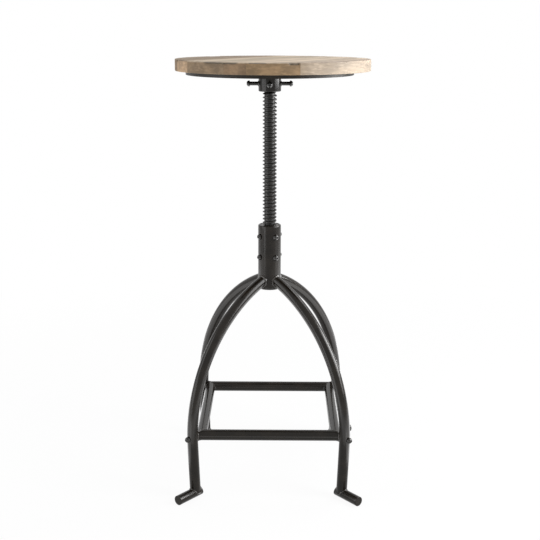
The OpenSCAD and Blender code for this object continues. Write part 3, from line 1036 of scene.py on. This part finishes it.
@dataclass
class Spindle:
    """The lifting screw with its round-shouldered thread and plain shank."""

    shop: Workshop
    crest_radius: float = 13.0 * MM
    root_radius: float = 10.0 * MM
    shank_radius: float = 12.0 * MM
    bore_radius: float = 4.05 * MM
    bore_depth: float = 21.0 * MM
    lead: float = 6.8 * MM
    flank: float = 1.15 * MM
    crest_width: float = 1.7 * MM
    lead_in: float = 2.0 * MM
    segments: int = 48
    flank_rows: int = 5

    def tooth(self) -> tuple[np.ndarray, np.ndarray]:
        """One lead of the thread's outline: up a flank, over the crest, down and along the root.

        A flank's height is 3 s^2 - 2 s^3 of its share s, which rounds both of its corners.

        Returns:
            Place along the lead in metres, and height above the root from 0 to 1.
        """
        share = np.linspace(0.0, 1.0, self.flank_rows)
        rise = smooth_step(share, 0.0, 1.0)
        fall = self.flank + self.crest_width
        place = np.concatenate([self.flank * share, fall + self.flank * share,
                                [0.5 * (fall + self.flank + self.lead)]])
        return place, np.concatenate([rise, rise[::-1], [0.0]])

    def thread(self) -> Patch:
        """The threaded length, on a grid whose rows follow the helix.

        z = first + place + lead (turn count + t / 2 pi), held between the two ends, and
        r = root + depth height, faded to the root near the ends.

        Returns:
            The grid. Its first and last columns meet one turn apart.
        """
        low, high = self.shop.frame.spindle_low, self.shop.frame.hub_low
        place, height = self.tooth()
        turns = int(math.ceil((high - low) / self.lead)) + 2
        rows = (np.arange(turns)[:, None] * self.lead + place[None, :]).reshape(-1, 1)
        turn = np.linspace(0.0, FULL_TURN, self.segments + 1)[None, :]
        first = low + self.lead_in - 2.0 * self.lead
        z = np.clip(first + rows + self.lead * turn / FULL_TURN, low, high)
        runs = smooth_step(z, low, low + 2.0 * self.lead_in) \
            * (1.0 - smooth_step(z, high - 2.0 * self.lead_in, high))
        depth = self.crest_radius - self.root_radius
        radius = self.root_radius + depth * np.tile(height, turns)[:, None] * runs
        return Patch(grid(radius * np.cos(turn), radius * np.sin(turn), z), closed_columns=False)

    def build(self) -> None:
        """Joins the bored foot, the thread and the plain shank."""
        f = self.shop.frame
        shank = lathe(np.array([(self.root_radius, f.hub_low), (self.shank_radius, f.hub_low),
                                (self.shank_radius, f.spindle_high), (0.0, f.spindle_high)]),
                      self.segments)
        bore_top = f.spindle_low + self.bore_depth
        foot = lathe(np.array([(0.0, bore_top), (self.bore_radius, bore_top),
                               (self.bore_radius, f.spindle_low),
                               (self.root_radius, f.spindle_low)]), self.segments)
        steel = ThreadSteel("spindle_steel", f.axis_x, self.root_radius, self.crest_radius)
        self.shop.add("threaded_spindle", [foot, self.thread(), shank], steel, Body.SEAT,
                      "bare_steel", "spindle", 50.0)


@dataclass
class DomedBolt:
    """A domed head with a hexagon socket, bevelled below, drawn along +X from its seat."""

    head_radius: float
    head_height: float
    bevel: float = 1.0 * MM
    socket_flats: float = 4.0 * MM
    socket_depth: float = 2.2 * MM
    socket_lip: float = 0.1 * MM
    socket_cone: float = 0.4 * MM
    dome_end: float = 0.62
    dome_rows: int = 10
    shank_radius: float = 3.0 * MM
    shank_length: float = 4.0 * MM
    segments: int = 48

    def at(self, x: float, z: float = 0.0) -> Patch:
        """Rings from the shank's end over the dome into the socket: (h, r sin t, -r cos t).

        The dome is a sphere's cap, h = top - R + sqrt(R^2 - r^2) with R = (r0^2 + c^2) / 2c
        and c the height above the bevel. It ends at a share of the socket's flats, and in the
        socket a ring's radius is flats / (2 cos of the angle to the nearest flat).

        Args:
            x: How far out the head's seat is.
            z: How high the bolt's axis is.

        Returns:
            The grid, closed at both poles.
        """
        turn = np.linspace(0.0, FULL_TURN, self.segments, endpoint=False)
        sixth = FULL_TURN / 6.0
        hexagon = 0.5 * self.socket_flats / np.cos(np.mod(turn, sixth) - 0.5 * sixth)
        rise = self.head_height - self.bevel
        ball = (self.head_radius ** 2 + rise ** 2) / (2.0 * rise)
        dome_radius = np.linspace(self.head_radius, self.dome_end * self.socket_flats,
                                  self.dome_rows)
        dome_height = self.head_height - ball + np.sqrt(ball ** 2 - dome_radius ** 2)
        floor = self.head_height - self.socket_depth
        rings = [(0.0, -self.shank_length), (self.shank_radius, -self.shank_length),
                 (self.shank_radius, 0.0), (self.head_radius - self.bevel, 0.0),
                 *zip(dome_radius, dome_height),
                 (hexagon, dome_height[-1] - self.socket_lip), (hexagon, floor),
                 (0.0, floor - self.socket_cone)]
        size = np.stack([np.broadcast_to(radius, turn.shape) for radius, _ in rings])
        height = np.array([[h] for _, h in rings])
        return Patch(grid(height, size * np.sin(turn), -size * np.cos(turn))).moved(x, z)


@dataclass
class Column:
    """The hub under the plate, the sleeve between the legs, and the bolts in both."""

    shop: Workshop
    hub_bore: float = 12.05 * MM
    hub_ease: float = 2.0 * MM
    hub_bore_ease: float = 0.6 * MM
    hub_bolt_up: float = 14.0 * MM
    hub_bolt_head: float = 36.0 * MM
    hub_bolt_long: float = 28.0 * MM
    hub_bolt_radius: float = 3.5 * MM
    hub_bead: float = 1.7 * MM
    hub_bead_out: float = 0.3 * MM
    hub_bead_down: float = 0.9 * MM
    collar: float = 1.0 * MM
    collar_out: float = 0.6 * MM
    collar_off: float = 0.1 * MM
    head_radius: float = 5.5 * MM
    head_height: float = 6.5 * MM
    sleeve_wall: float = 3.5 * MM
    sleeve_rim: float = 2.5 * MM
    sleeve_lip: float = 0.5 * MM
    sleeve_chamfer: float = 0.4 * MM
    dent_size: float = 12 * MM
    dent_share: float = 0.004
    skin: float = 0.2 * MM
    screw_height: float = 5.0 * MM
    screw_shank: float = 6.2 * MM
    screw_socket: float = 1.9 * MM
    screw_sunk: float = 0.05 * MM
    screw_rings: tuple = (21.5 * MM, 61.0 * MM)
    screw_angle: float = -57.0

    def hub(self) -> None:
        """The hub is turned, with a rounded lower rim; a weld bead holds it to the plate."""
        f, ease, bore_ease = self.shop.frame, self.hub_ease, self.hub_bore_ease
        top = (f.hub_radius, f.hub_high)
        corner = arc_points(ease, 0.0, -90.0, 8, (f.hub_radius - ease, f.hub_low + ease))
        inner = arc_points(bore_ease, -90.0, -180.0, 4,
                           (self.hub_bore + bore_ease, f.hub_low + bore_ease))
        profile = np.concatenate([[top], corner, inner, [(self.hub_bore, f.hub_high)], [top]])
        self.shop.add("turned_hub", [lathe(profile)], Finish.FRAME_STEEL, Body.SEAT,
                      node="seat_hub")
        ring = grid(*circle(f.hub_radius + self.hub_bead_out, 120),
                    f.plate_low - self.hub_bead_down)
        self.shop.add("hub_weld", [weld_bead(ring, self.hub_bead, 3, 12, ALONG_Z)],
                      Finish.WELD_STEEL, Body.SEAT)

    def hub_bolts(self) -> None:
        """Four bolts stand out of the hub, with a small collar where each goes in."""
        f = self.shop.frame
        lift = f.hub_low + self.hub_bolt_up
        bolt = DomedBolt(self.head_radius, self.head_height, shank_length=self.hub_bolt_long,
                         shank_radius=self.hub_bolt_radius).at(self.hub_bolt_head, lift)
        y, z = circle(self.hub_bolt_radius + self.collar_out, 36)
        path = grid(np.sqrt((f.hub_radius + self.collar_off) ** 2 - y ** 2), y, z)
        collar = tube_round(path, self.collar, 10, ALONG_X).moved(z=lift)
        for name, shape, finish, slot, node in (
                ("hub_clamp_bolts", bolt, Finish.BOLT_STEEL, "black_bolts", "hub_bolts"),
                ("hub_bolt_collars", collar, Finish.WELD_STEEL, "dark_steel", None)):
            self.shop.add(name, [shape.turned(90.0 * k) for k in range(4)], finish, Body.SEAT,
                          slot, node)

    def sleeve(self) -> None:
        """The sleeve has a rounded upper rim and a thin rolled lip, and its skin is uneven."""
        f, rim, lip, edge = self.shop.frame, self.sleeve_rim, self.sleeve_lip, self.sleeve_chamfer
        bore = f.sleeve_radius - self.sleeve_wall
        start = (bore, f.sleeve_high - edge)
        top = arc_points(rim, 90.0, 0.0, 10, (f.sleeve_radius - rim, f.sleeve_high - rim))
        foot = arc_points(lip, 0.0, -90.0, 5, (f.sleeve_radius - lip, f.sleeve_low + lip))
        side = grid(f.sleeve_radius, np.linspace(f.sleeve_high - rim, f.sleeve_low + lip, 24))
        profile = np.concatenate([[start, (bore + edge, f.sleeve_high)], top, side[1:-1], foot,
                                  [(bore, f.sleeve_low), start]])
        body = lathe(profile)
        uneven = share_noise(body.points, self.dent_size, 5)
        outer = np.hypot(body.points[..., 0], body.points[..., 1]) > f.sleeve_radius - self.skin
        body.points[..., :2] *= np.where(outer, 1.0 - self.dent_share * uneven, 1.0)[..., None]
        self.shop.add("turned_sleeve", [body], Finish.FRAME_STEEL, Body.BASE, node="sleeve")

    def sleeve_screws(self) -> None:
        """Two rings of four domed screws hold the nut in the sleeve."""
        f = self.shop.frame
        screw = DomedBolt(self.head_radius, self.screw_height, shank_length=self.screw_shank,
                          socket_depth=self.screw_socket)
        screws = [screw.at(f.sleeve_radius - self.screw_sunk, f.sleeve_high - below)
                  .turned(self.screw_angle - 90.0 + 90.0 * k)
                  for below in self.screw_rings for k in range(4)]
        self.shop.add("sleeve_dome_screws", screws, Finish.BOLT_STEEL, Body.BASE, "black_bolts",
                      "sleeve_screws")

    def build(self) -> None:
        """Makes the hub, its bolts, the sleeve and its screws."""
        for make in (self.hub, self.hub_bolts, self.sleeve, self.sleeve_screws):
            make()


# The base: legs, feet and footrest


@dataclass
class Leg:
    """A bent tube in the upright plane y = 0, from the foot bar up to the sleeve.

    Its axis leans out along a straight length and then follows an arc about (cx, cz). A line of
    its skin stands `outward` off the axis in the leg's plane and `sideways` across it.
    """

    frame: StoolFrame
    radius: float = 10.0 * MM
    foot_r: float = 192.0 * MM
    lean: float = math.radians(2.6)
    straight: float = 106.5 * MM
    bend: float = 285.0 * MM
    foot_turn: float = 0.0
    weld_bite: float = 1.2 * MM
    sleeve_bead: float = 2.0 * MM
    sleeve_bead_out: float = 0.4 * MM
    sleeve_bead_off: float = 0.2 * MM
    foot_bead: float = 1.5 * MM
    foot_bead_out: float = 0.1 * MM
    foot_bead_off: float = 0.1 * MM
    bead_points: int = 96
    straight_rows: int = 30
    bend_rows: int = 90
    segments: int = 48

    @property
    def bend_centre(self) -> np.ndarray:
        """The middle of the bend: the straight length's end, less the bend's radius.

        Returns:
            Its place (cx, cz) in the leg's plane.
        """
        sine, cosine = math.sin(self.lean), math.cos(self.lean)
        return np.array([self.foot_r + self.straight * sine - self.bend * cosine,
                         self.straight * cosine + self.bend * sine])

    def sleeve_angle(self, outward: np.ndarray, sideways: np.ndarray, reach: float) -> np.ndarray:
        """The angle a at which a line of the skin meets an upright cylinder about the screw.

        cx + (bend + outward) cos a = sqrt(reach^2 - sideways^2)

        Args:
            outward: Offset of the line in the leg's plane.
            sideways: Offset of the line across it.
            reach: The cylinder's radius.

        Returns:
            The angle above the level through the bend's centre.
        """
        run = np.sqrt(np.maximum(reach ** 2 - sideways ** 2, 0.0)) - self.bend_centre[0]
        return np.arccos(run / (self.bend + outward))

    def skin_point(self, outward: np.ndarray, sideways: np.ndarray,
                   angle: np.ndarray) -> np.ndarray:
        """Points of the bend: (cx, cz) + (bend + outward) (cos a, sin a), and sideways."""
        (cx, cz), reach = self.bend_centre, self.bend + outward
        return grid(cx + reach * np.cos(angle), sideways, cz + reach * np.sin(angle))

    def saddle_height(self, outward: np.ndarray, sideways: np.ndarray) -> np.ndarray:
        """Height of the turned foot bar's top under each line of the skin.

        A line stands sideways cos t - outward sin t off the bar's axis, with t the bar's turn.

        Args:
            outward: Offset of the line in the leg's plane.
            sideways: Offset of the line across it.

        Returns:
            The height in metres.
        """
        bar, turn = self.frame.foot_radius, math.radians(self.foot_turn)
        off = sideways * math.cos(turn) - outward * math.sin(turn)
        return bar + np.sqrt(np.maximum(bar ** 2 - off ** 2, 0.0))

    def tube(self) -> Patch:
        """The leg's skin, from the saddle on the foot bar up to the sleeve.

        Returns:
            The grid, closed at both ends by a pole.
        """
        outward, sideways = circle(self.radius, self.segments)
        low = self.saddle_height(outward, sideways) - self.weld_bite
        start = low / math.cos(self.lean) + outward * math.tan(self.lean)
        share = np.linspace(0.0, 1.0, self.straight_rows)[:, None]
        length = start + share * (self.straight - start)
        x = self.foot_r + length * math.sin(self.lean) + outward * math.cos(self.lean)
        z = length * math.cos(self.lean) - outward * math.sin(self.lean)
        last = self.sleeve_angle(outward, sideways, self.frame.sleeve_radius - self.weld_bite)
        share = np.linspace(0.0, 1.0, self.bend_rows)[1:, None]
        angle = -self.lean + share * (last + self.lean)
        return Patch(capped(np.concatenate([grid(x, sideways, z),
                                            self.skin_point(outward, sideways, angle)])))

    def sleeve_weld(self, seed: int) -> Patch:
        """The bead where the leg meets the sleeve.

        Args:
            seed: Which noise to read.

        Returns:
            The bead in the leg's own plane.
        """
        outward, sideways = circle(self.radius + self.sleeve_bead_out, self.bead_points)
        angle = self.sleeve_angle(outward, sideways,
                                  self.frame.sleeve_radius + self.sleeve_bead_off)
        return weld_bead(self.skin_point(outward, sideways, angle), self.sleeve_bead, seed, 10,
                         ALONG_X)

    def foot_weld(self, seed: int) -> Patch:
        """The bead where the leg stands on its foot bar.

        Args:
            seed: Which noise to read.

        Returns:
            The bead in the leg's own plane.
        """
        outward, sideways = circle(self.radius + self.foot_bead_out, self.bead_points)
        z = self.saddle_height(outward, sideways) + self.foot_bead_off
        x = self.foot_r + z * math.tan(self.lean) + outward
        return weld_bead(grid(x, sideways, z), self.foot_bead, seed, 10, ALONG_Z)

    def axis_radius_at(self, height: np.ndarray | float) -> np.ndarray | float:
        """Distance of the leg's axis from the screw's axis at a height on the bend."""
        cx, cz = self.bend_centre
        return cx + np.sqrt(self.bend ** 2 - (height - cz) ** 2)


@dataclass
class FootBar:
    """A short round bar that lies on the floor under its leg, turned a little to the front."""

    leg: Leg
    tip: float = 238.0 * MM
    heel_reach: float = 3.0 * MM
    bevel: float = 0.7 * MM
    bevel_rows: int = 5
    middle_rows: int = 12
    segments: int = 48

    def bar(self) -> Patch:
        """Rings from the slanted heel to the flat outer end.

        The heel's face is the plane x = heel + reach (z / diameter), and both ends are
        bevelled by a quarter circle.

        Returns:
            The grid, closed at both ends by a pole.
        """
        r, end = self.leg.frame.foot_radius, self.tip - self.bevel
        swell, back = arc_points(self.bevel, 90.0, 0.0, self.bevel_rows).T
        bevelled = r - self.bevel + swell
        size = np.concatenate([[0.0, 0.5 * (r - self.bevel)], bevelled,
                               np.full(self.middle_rows, r), bevelled[::-1],
                               [0.5 * r, 0.0]])[:, None]
        y, up = circle(size, self.segments)
        z = r + up
        slant = self.leg.foot_r - self.leg.radius - self.heel_reach + self.heel_reach * z / (2 * r)
        inward = np.concatenate([[0.0, 0.0], self.bevel - back])[:, None]
        heel = slant[:len(inward)] + inward
        share = np.linspace(0.0, 1.0, self.middle_rows + 2)[1:-1, None]
        middle = heel[-1] + share * (end - heel[-1])
        outer = np.concatenate([end + back[::-1], [self.tip, self.tip]])[:, None]
        x = np.concatenate([heel, middle, np.broadcast_to(outer, heel.shape)])
        under_leg = self.leg.foot_r
        return Patch(grid(x, y, z)).moved(-under_leg).turned(self.leg.foot_turn).moved(under_leg)


@dataclass
class Base:
    """Four legs on their foot bars, joined by the square footrest."""

    shop: Workshop
    bolt_tip: float = 1.5 * MM
    head_radius: float = 5.5 * MM
    head_height: float = 6.5 * MM
    mitre_bead: float = 1.1 * MM
    mitre_bead_sunk: float = 0.35 * MM
    groove_bead: float = 2.1 * MM
    groove_bead_out: float = 0.5 * MM
    groove_bead_short: float = 1.0 * MM
    groove_angle: float = 21.0
    groove_swing: float = 60.0
    groove_rows: int = 25
    rail_rows: int = 61
    foot_turn: float = 5.0
    corners: tuple = (("front_left", 225.0), ("front_right", 315.0), ("rear_left", 135.0),
                      ("rear_right", 45.0))
    rails: tuple = (("front", 0.0), ("right", 90.0), ("rear", 180.0), ("left", 270.0))

    def add(self, name: str, patches: list[Patch], angle: float, node: str | None = None) -> None:
        """Makes a piece of the base, turned about the screw: steel for a node, or a weld.

        Args:
            name: The piece's name.
            patches: Its grids at angle 0.
            angle: Its angle about the screw in degrees.
            node: The CAD node that it replaces, if any.
        """
        finish = Finish.FRAME_STEEL if node else Finish.WELD_STEEL
        self.shop.add(name, [patch.turned(angle) for patch in patches], finish, Body.BASE,
                      node=node)

    def legs_and_feet(self) -> None:
        """Each leg, its foot bar and the two beads that hold it."""
        for k, (corner, angle) in enumerate(self.corners):
            to_front = math.copysign(self.foot_turn, -math.cos(math.radians(angle)))
            leg = Leg(self.shop.frame, foot_turn=to_front)
            self.add(f"bent_leg_{corner}", [leg.tube()], angle, f"leg_{corner}")
            self.add(f"foot_bar_{corner}", [FootBar(leg).bar()], angle, f"foot_{corner}")
            self.add(f"sleeve_weld_{corner}", [leg.sleeve_weld(20 + k)], angle)
            self.add(f"foot_weld_{corner}", [leg.foot_weld(40 + k)], angle)

    def rail(self) -> Patch:
        """The front rail with mitred ends: x runs to half +- the outward offset.

        Returns:
            The grid, closed at both ends by a pole.
        """
        f = self.shop.frame
        outward, up = circle(f.rail_radius, 48)
        x = np.linspace(-1.0, 1.0, self.rail_rows)[:, None] * (f.rail_half + outward)
        return Patch(capped(grid(x, -f.rail_half - outward, f.rail_height + up)))

    def mitre_weld(self, seed: int) -> Patch:
        """The low bead along a corner's mitre, drawn at angle 0 and turned to its leg.

        The mitre is the ellipse x = sqrt2 (half + r cos t), z = height + r sin t at y = 0.

        Args:
            seed: Which noise to read.

        Returns:
            The bead.
        """
        f = self.shop.frame
        outward, up = circle(f.rail_radius - self.mitre_bead_sunk, 72)
        path = grid(ROOT_TWO * (f.rail_half + outward), 0.0, f.rail_height + up)
        return weld_bead(path, self.mitre_bead, seed, 8, ALONG_Y)

    def corner_weld(self, leg: Leg, side: float, seed: int) -> Patch:
        """A bead down the groove between a leg and a rail's end.

        The path stands on the leg's skin, at the groove's angle off the line to the screw,
        while its height goes from the rail's bottom to its top as the sine of the swing.

        Args:
            leg: The leg.
            side: +1 or -1, for the two sides of the leg.
            seed: Which noise to read.

        Returns:
            The bead at angle 0.
        """
        f, count = self.shop.frame, self.groove_rows
        swing = np.radians(np.linspace(-self.groove_swing, self.groove_swing, count))
        height = f.rail_height + (f.rail_radius - self.groove_bead_short) * np.sin(swing)
        groove, out = math.radians(self.groove_angle), leg.radius + self.groove_bead_out
        path = grid(leg.axis_radius_at(height) - out * math.cos(groove),
                    side * out * math.sin(groove), height)
        taper = np.sqrt(np.clip(1.0 - np.linspace(-1.0, 1.0, count) ** 4, 0.0, 1.0))
        size = bead_radius(count, self.groove_bead, seed) * taper
        return tube_round(path, size, 10, ALONG_X, False)

    def footrest(self) -> None:
        """Four mitred rails with their corner beads."""
        leg = Leg(self.shop.frame)
        for name, angle in self.rails:
            self.add(f"footrest_{name}", [self.rail()], angle, f"rail_{name}")
        for k, (corner, angle) in enumerate(self.corners):
            beads = [self.mitre_weld(60 + k), self.corner_weld(leg, 1.0, 70 + k),
                     self.corner_weld(leg, -1.0, 80 + k)]
            self.add(f"footrest_weld_{corner}", beads, angle)

    def footrest_bolts(self) -> None:
        """A domed bolt goes through each leg into the frame's corner."""
        f, leg = self.shop.frame, Leg(self.shop.frame)
        seat = leg.axis_radius_at(f.rail_height) + leg.radius
        tip = ROOT_TWO * (f.rail_half - f.rail_radius) - self.bolt_tip
        bolt = DomedBolt(self.head_radius, self.head_height, shank_length=seat - tip)
        self.shop.add("footrest_dome_bolts", [bolt.at(seat, f.rail_height).turned(angle)
                                              for _, angle in self.corners],
                      Finish.BOLT_STEEL, Body.BASE, "black_bolts", "footrest_bolts")

    def build(self) -> None:
        """Makes the legs, the feet and the footrest."""
        for make in (self.legs_and_feet, self.footrest, self.footrest_bolts):
            make()


# Solids that keep their CAD shape


@dataclass(frozen=True)
class KeptSolids:
    """Finishes for the CAD nodes that are shown as they are."""

    shop: Workshop
    finishes: tuple = (("seat_plate", Finish.PLATE_STEEL), ("seat_screws", Finish.ZINC_STEEL),
                       ("spindle_nut", Finish.NUT_STEEL), ("stop_washer", Finish.ZINC_STEEL),
                       ("stop_bolt", Finish.ZINC_STEEL), ("footrest_nuts", Finish.ZINC_STEEL))

    def dress(self, nodes: dict[str, bpy.types.Object]) -> None:
        """Puts a finish on each kept node.

        Args:
            nodes: The CAD objects by name.
        """
        for name, finish in self.finishes:
            mesh = nodes[name].data
            mesh.materials.clear()
            mesh.materials.append(self.shop.material(finish))
            LOG.info("%s: finished as %s", name, finish.value.name)


# The studio


@dataclass(frozen=True)
class Studio:
    """A white sweep, broad soft lamps and the photograph's camera."""

    axis_x: float
    camera_distance: float = 1781.9 * MM
    camera_height: float = 857.0 * MM
    camera_right: float = 14.7 * MM
    camera_pitch: float = 14.33
    camera_yaw: float = 0.44
    camera_roll: float = 0.12
    lens: float = 64.51
    sensor: float = 36.0
    floor_half: float = 6.0
    floor_grey: float = 0.80
    floor_white: float = 0.93
    shadow_near: float = 0.5
    shadow_far: float = 1.5
    world_level: float = 0.58
    middle: tuple = (0.0, 0.0, 0.45)

    def floor(self) -> None:
        """A pale floor that the camera sees as white, with the stool's soft shadow on it."""
        s = Shader("pale_floor")
        s.finished({"Base Color": (self.floor_grey,) * 3, "Roughness": 0.9})
        white = s.node("Emission", {"Color": WHITE, "Strength": 1.0}).outputs["Emission"]
        x, y, _ = s.split(s.object_point)
        fade = s.between(s.length(x, y), self.shadow_near, self.shadow_far, self.floor_white, 1.0)
        seen = s.times(s.direct_ray(), fade)
        s.feed(s.output.inputs["Surface"], s.blended(seen, s.surface.outputs["BSDF"], white))
        side = np.linspace(-self.floor_half, self.floor_half, 5)
        sheet = Patch(grid(side[:, None], side, 0.0), closed_columns=False)
        mesh = bpy.data.meshes.new("floor")
        mesh.from_pydata(sheet.points.reshape(-1, 3).tolist(), [], sheet.faces(0).tolist())
        mesh.materials.append(s.material)
        floor = bpy.data.objects.new("floor", mesh)
        bpy.context.scene.collection.objects.link(floor)

    def world(self) -> None:
        """White where the camera, a gloss or a glass sees it, and a plain soft light."""
        world = bpy.data.worlds.new("white_studio")
        bpy.context.scene.world = world
        world.use_nodes = True
        kit = NodeKit(world.node_tree)
        soft, white = (kit.node("Background", {"Color": WHITE, "Strength": level})
                       .outputs["Background"] for level in (self.world_level, 1.0))
        kit.node("OutputWorld", {"Surface": kit.blended(kit.direct_ray(), soft, white)})

    def lamp(self, name: str, place: tuple, target: tuple, size: tuple,
             power: float) -> bpy.types.Object:
        """Adds one soft rectangular lamp.

        Args:
            name: Its name.
            place: Where it stands.
            target: The point that it faces.
            size: Its width and height.
            power: Its power in watts.

        Returns:
            The lamp.
        """
        light = bpy.data.lights.new(name, "AREA")
        light.shape = "RECTANGLE"
        light.size, light.size_y = size
        light.energy = power
        lamp = bpy.data.objects.new(name, light)
        lamp.location = place
        aim = Vector(target) - Vector(place)
        lamp.rotation_euler = aim.to_track_quat("-Z", "Y").to_euler()
        bpy.context.scene.collection.objects.link(lamp)
        return lamp

    def card(self, name: str, place: tuple, target: tuple, size: tuple, level: float) -> None:
        """Sets up a pale card, which only glossy surfaces see and where a level of 1 is white."""
        card = self.lamp(name, place, target, size, level * math.pi * size[0] * size[1])
        card.visible_camera = card.visible_diffuse = card.visible_transmission = False

    def lamps(self) -> None:
        """A large key from the right, a fill from the left, a soft top light and the cards."""
        for name, place, size, power in (
                ("key_right", (1.84, -0.76, 1.3), (0.9, 1.8), 42.0),
                ("fill_left", (-1.9, -0.6, 1.0), (0.9, 1.8), 14.0),
                ("top_soft", (1.05, 0.7, 2.0), (0.9, 0.9), 12.0)):
            self.lamp(name, place, self.middle, size, power)
        for name, x, y, size, level in (("card_left", -0.95, 0.1, (1.4, 1.5), 1.8),
                                        ("card_right", 0.95, 0.1, (1.4, 1.5), 2.6),
                                        ("card_front", 0.0, -0.65, (2.0, 0.6), 1.4)):
            self.card(name, (x, y, 0.01), (x, y, 1.0), size, level)
        self.card("card_side", (1.55, 0.10, 1.02), self.middle, (0.8, 0.9), 20.0)
        self.card("card_low", (-1.45, -1.25, 0.35), self.middle, (0.6, 0.7), 3.2)

    def camera(self) -> None:
        """The photograph's viewpoint, fitted to the seat, the legs and the feet."""
        data = bpy.data.cameras.new("photo_camera")
        data.lens = self.lens
        data.sensor_width = self.sensor
        camera = bpy.data.objects.new("photo_camera", data)
        camera.location = (self.axis_x + self.camera_right, -self.camera_distance,
                           self.camera_height)
        view = Matrix.Identity(3)
        for degrees, axis in ((self.camera_yaw, "Z"), (90.0 - self.camera_pitch, "X"),
                              (self.camera_roll, "Z")):
            view @= Matrix.Rotation(math.radians(degrees), 3, axis)
        camera.rotation_euler = view.to_euler()
        bpy.context.scene.collection.objects.link(camera)
        bpy.context.scene.camera = camera

    def build(self) -> None:
        """Sets the floor, the light, the camera and a plain view."""
        for make in (self.floor, self.world, self.lamps, self.camera):
            make()
        bpy.context.scene.view_settings.view_transform = "Standard"


def main() -> None:
    """Builds the stool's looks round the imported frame."""
    logging.basicConfig(level=logging.INFO, format="%(message)s")
    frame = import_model()
    shop = Workshop(StoolFrame.read(frame))
    for assembly in (Seat, Spindle, Column, Base):
        assembly(shop).build()
    KeptSolids(shop).dress(frame["nodes"])
    Studio(shop.frame.axis_x).build()


if __name__ == "__main__":
    main()
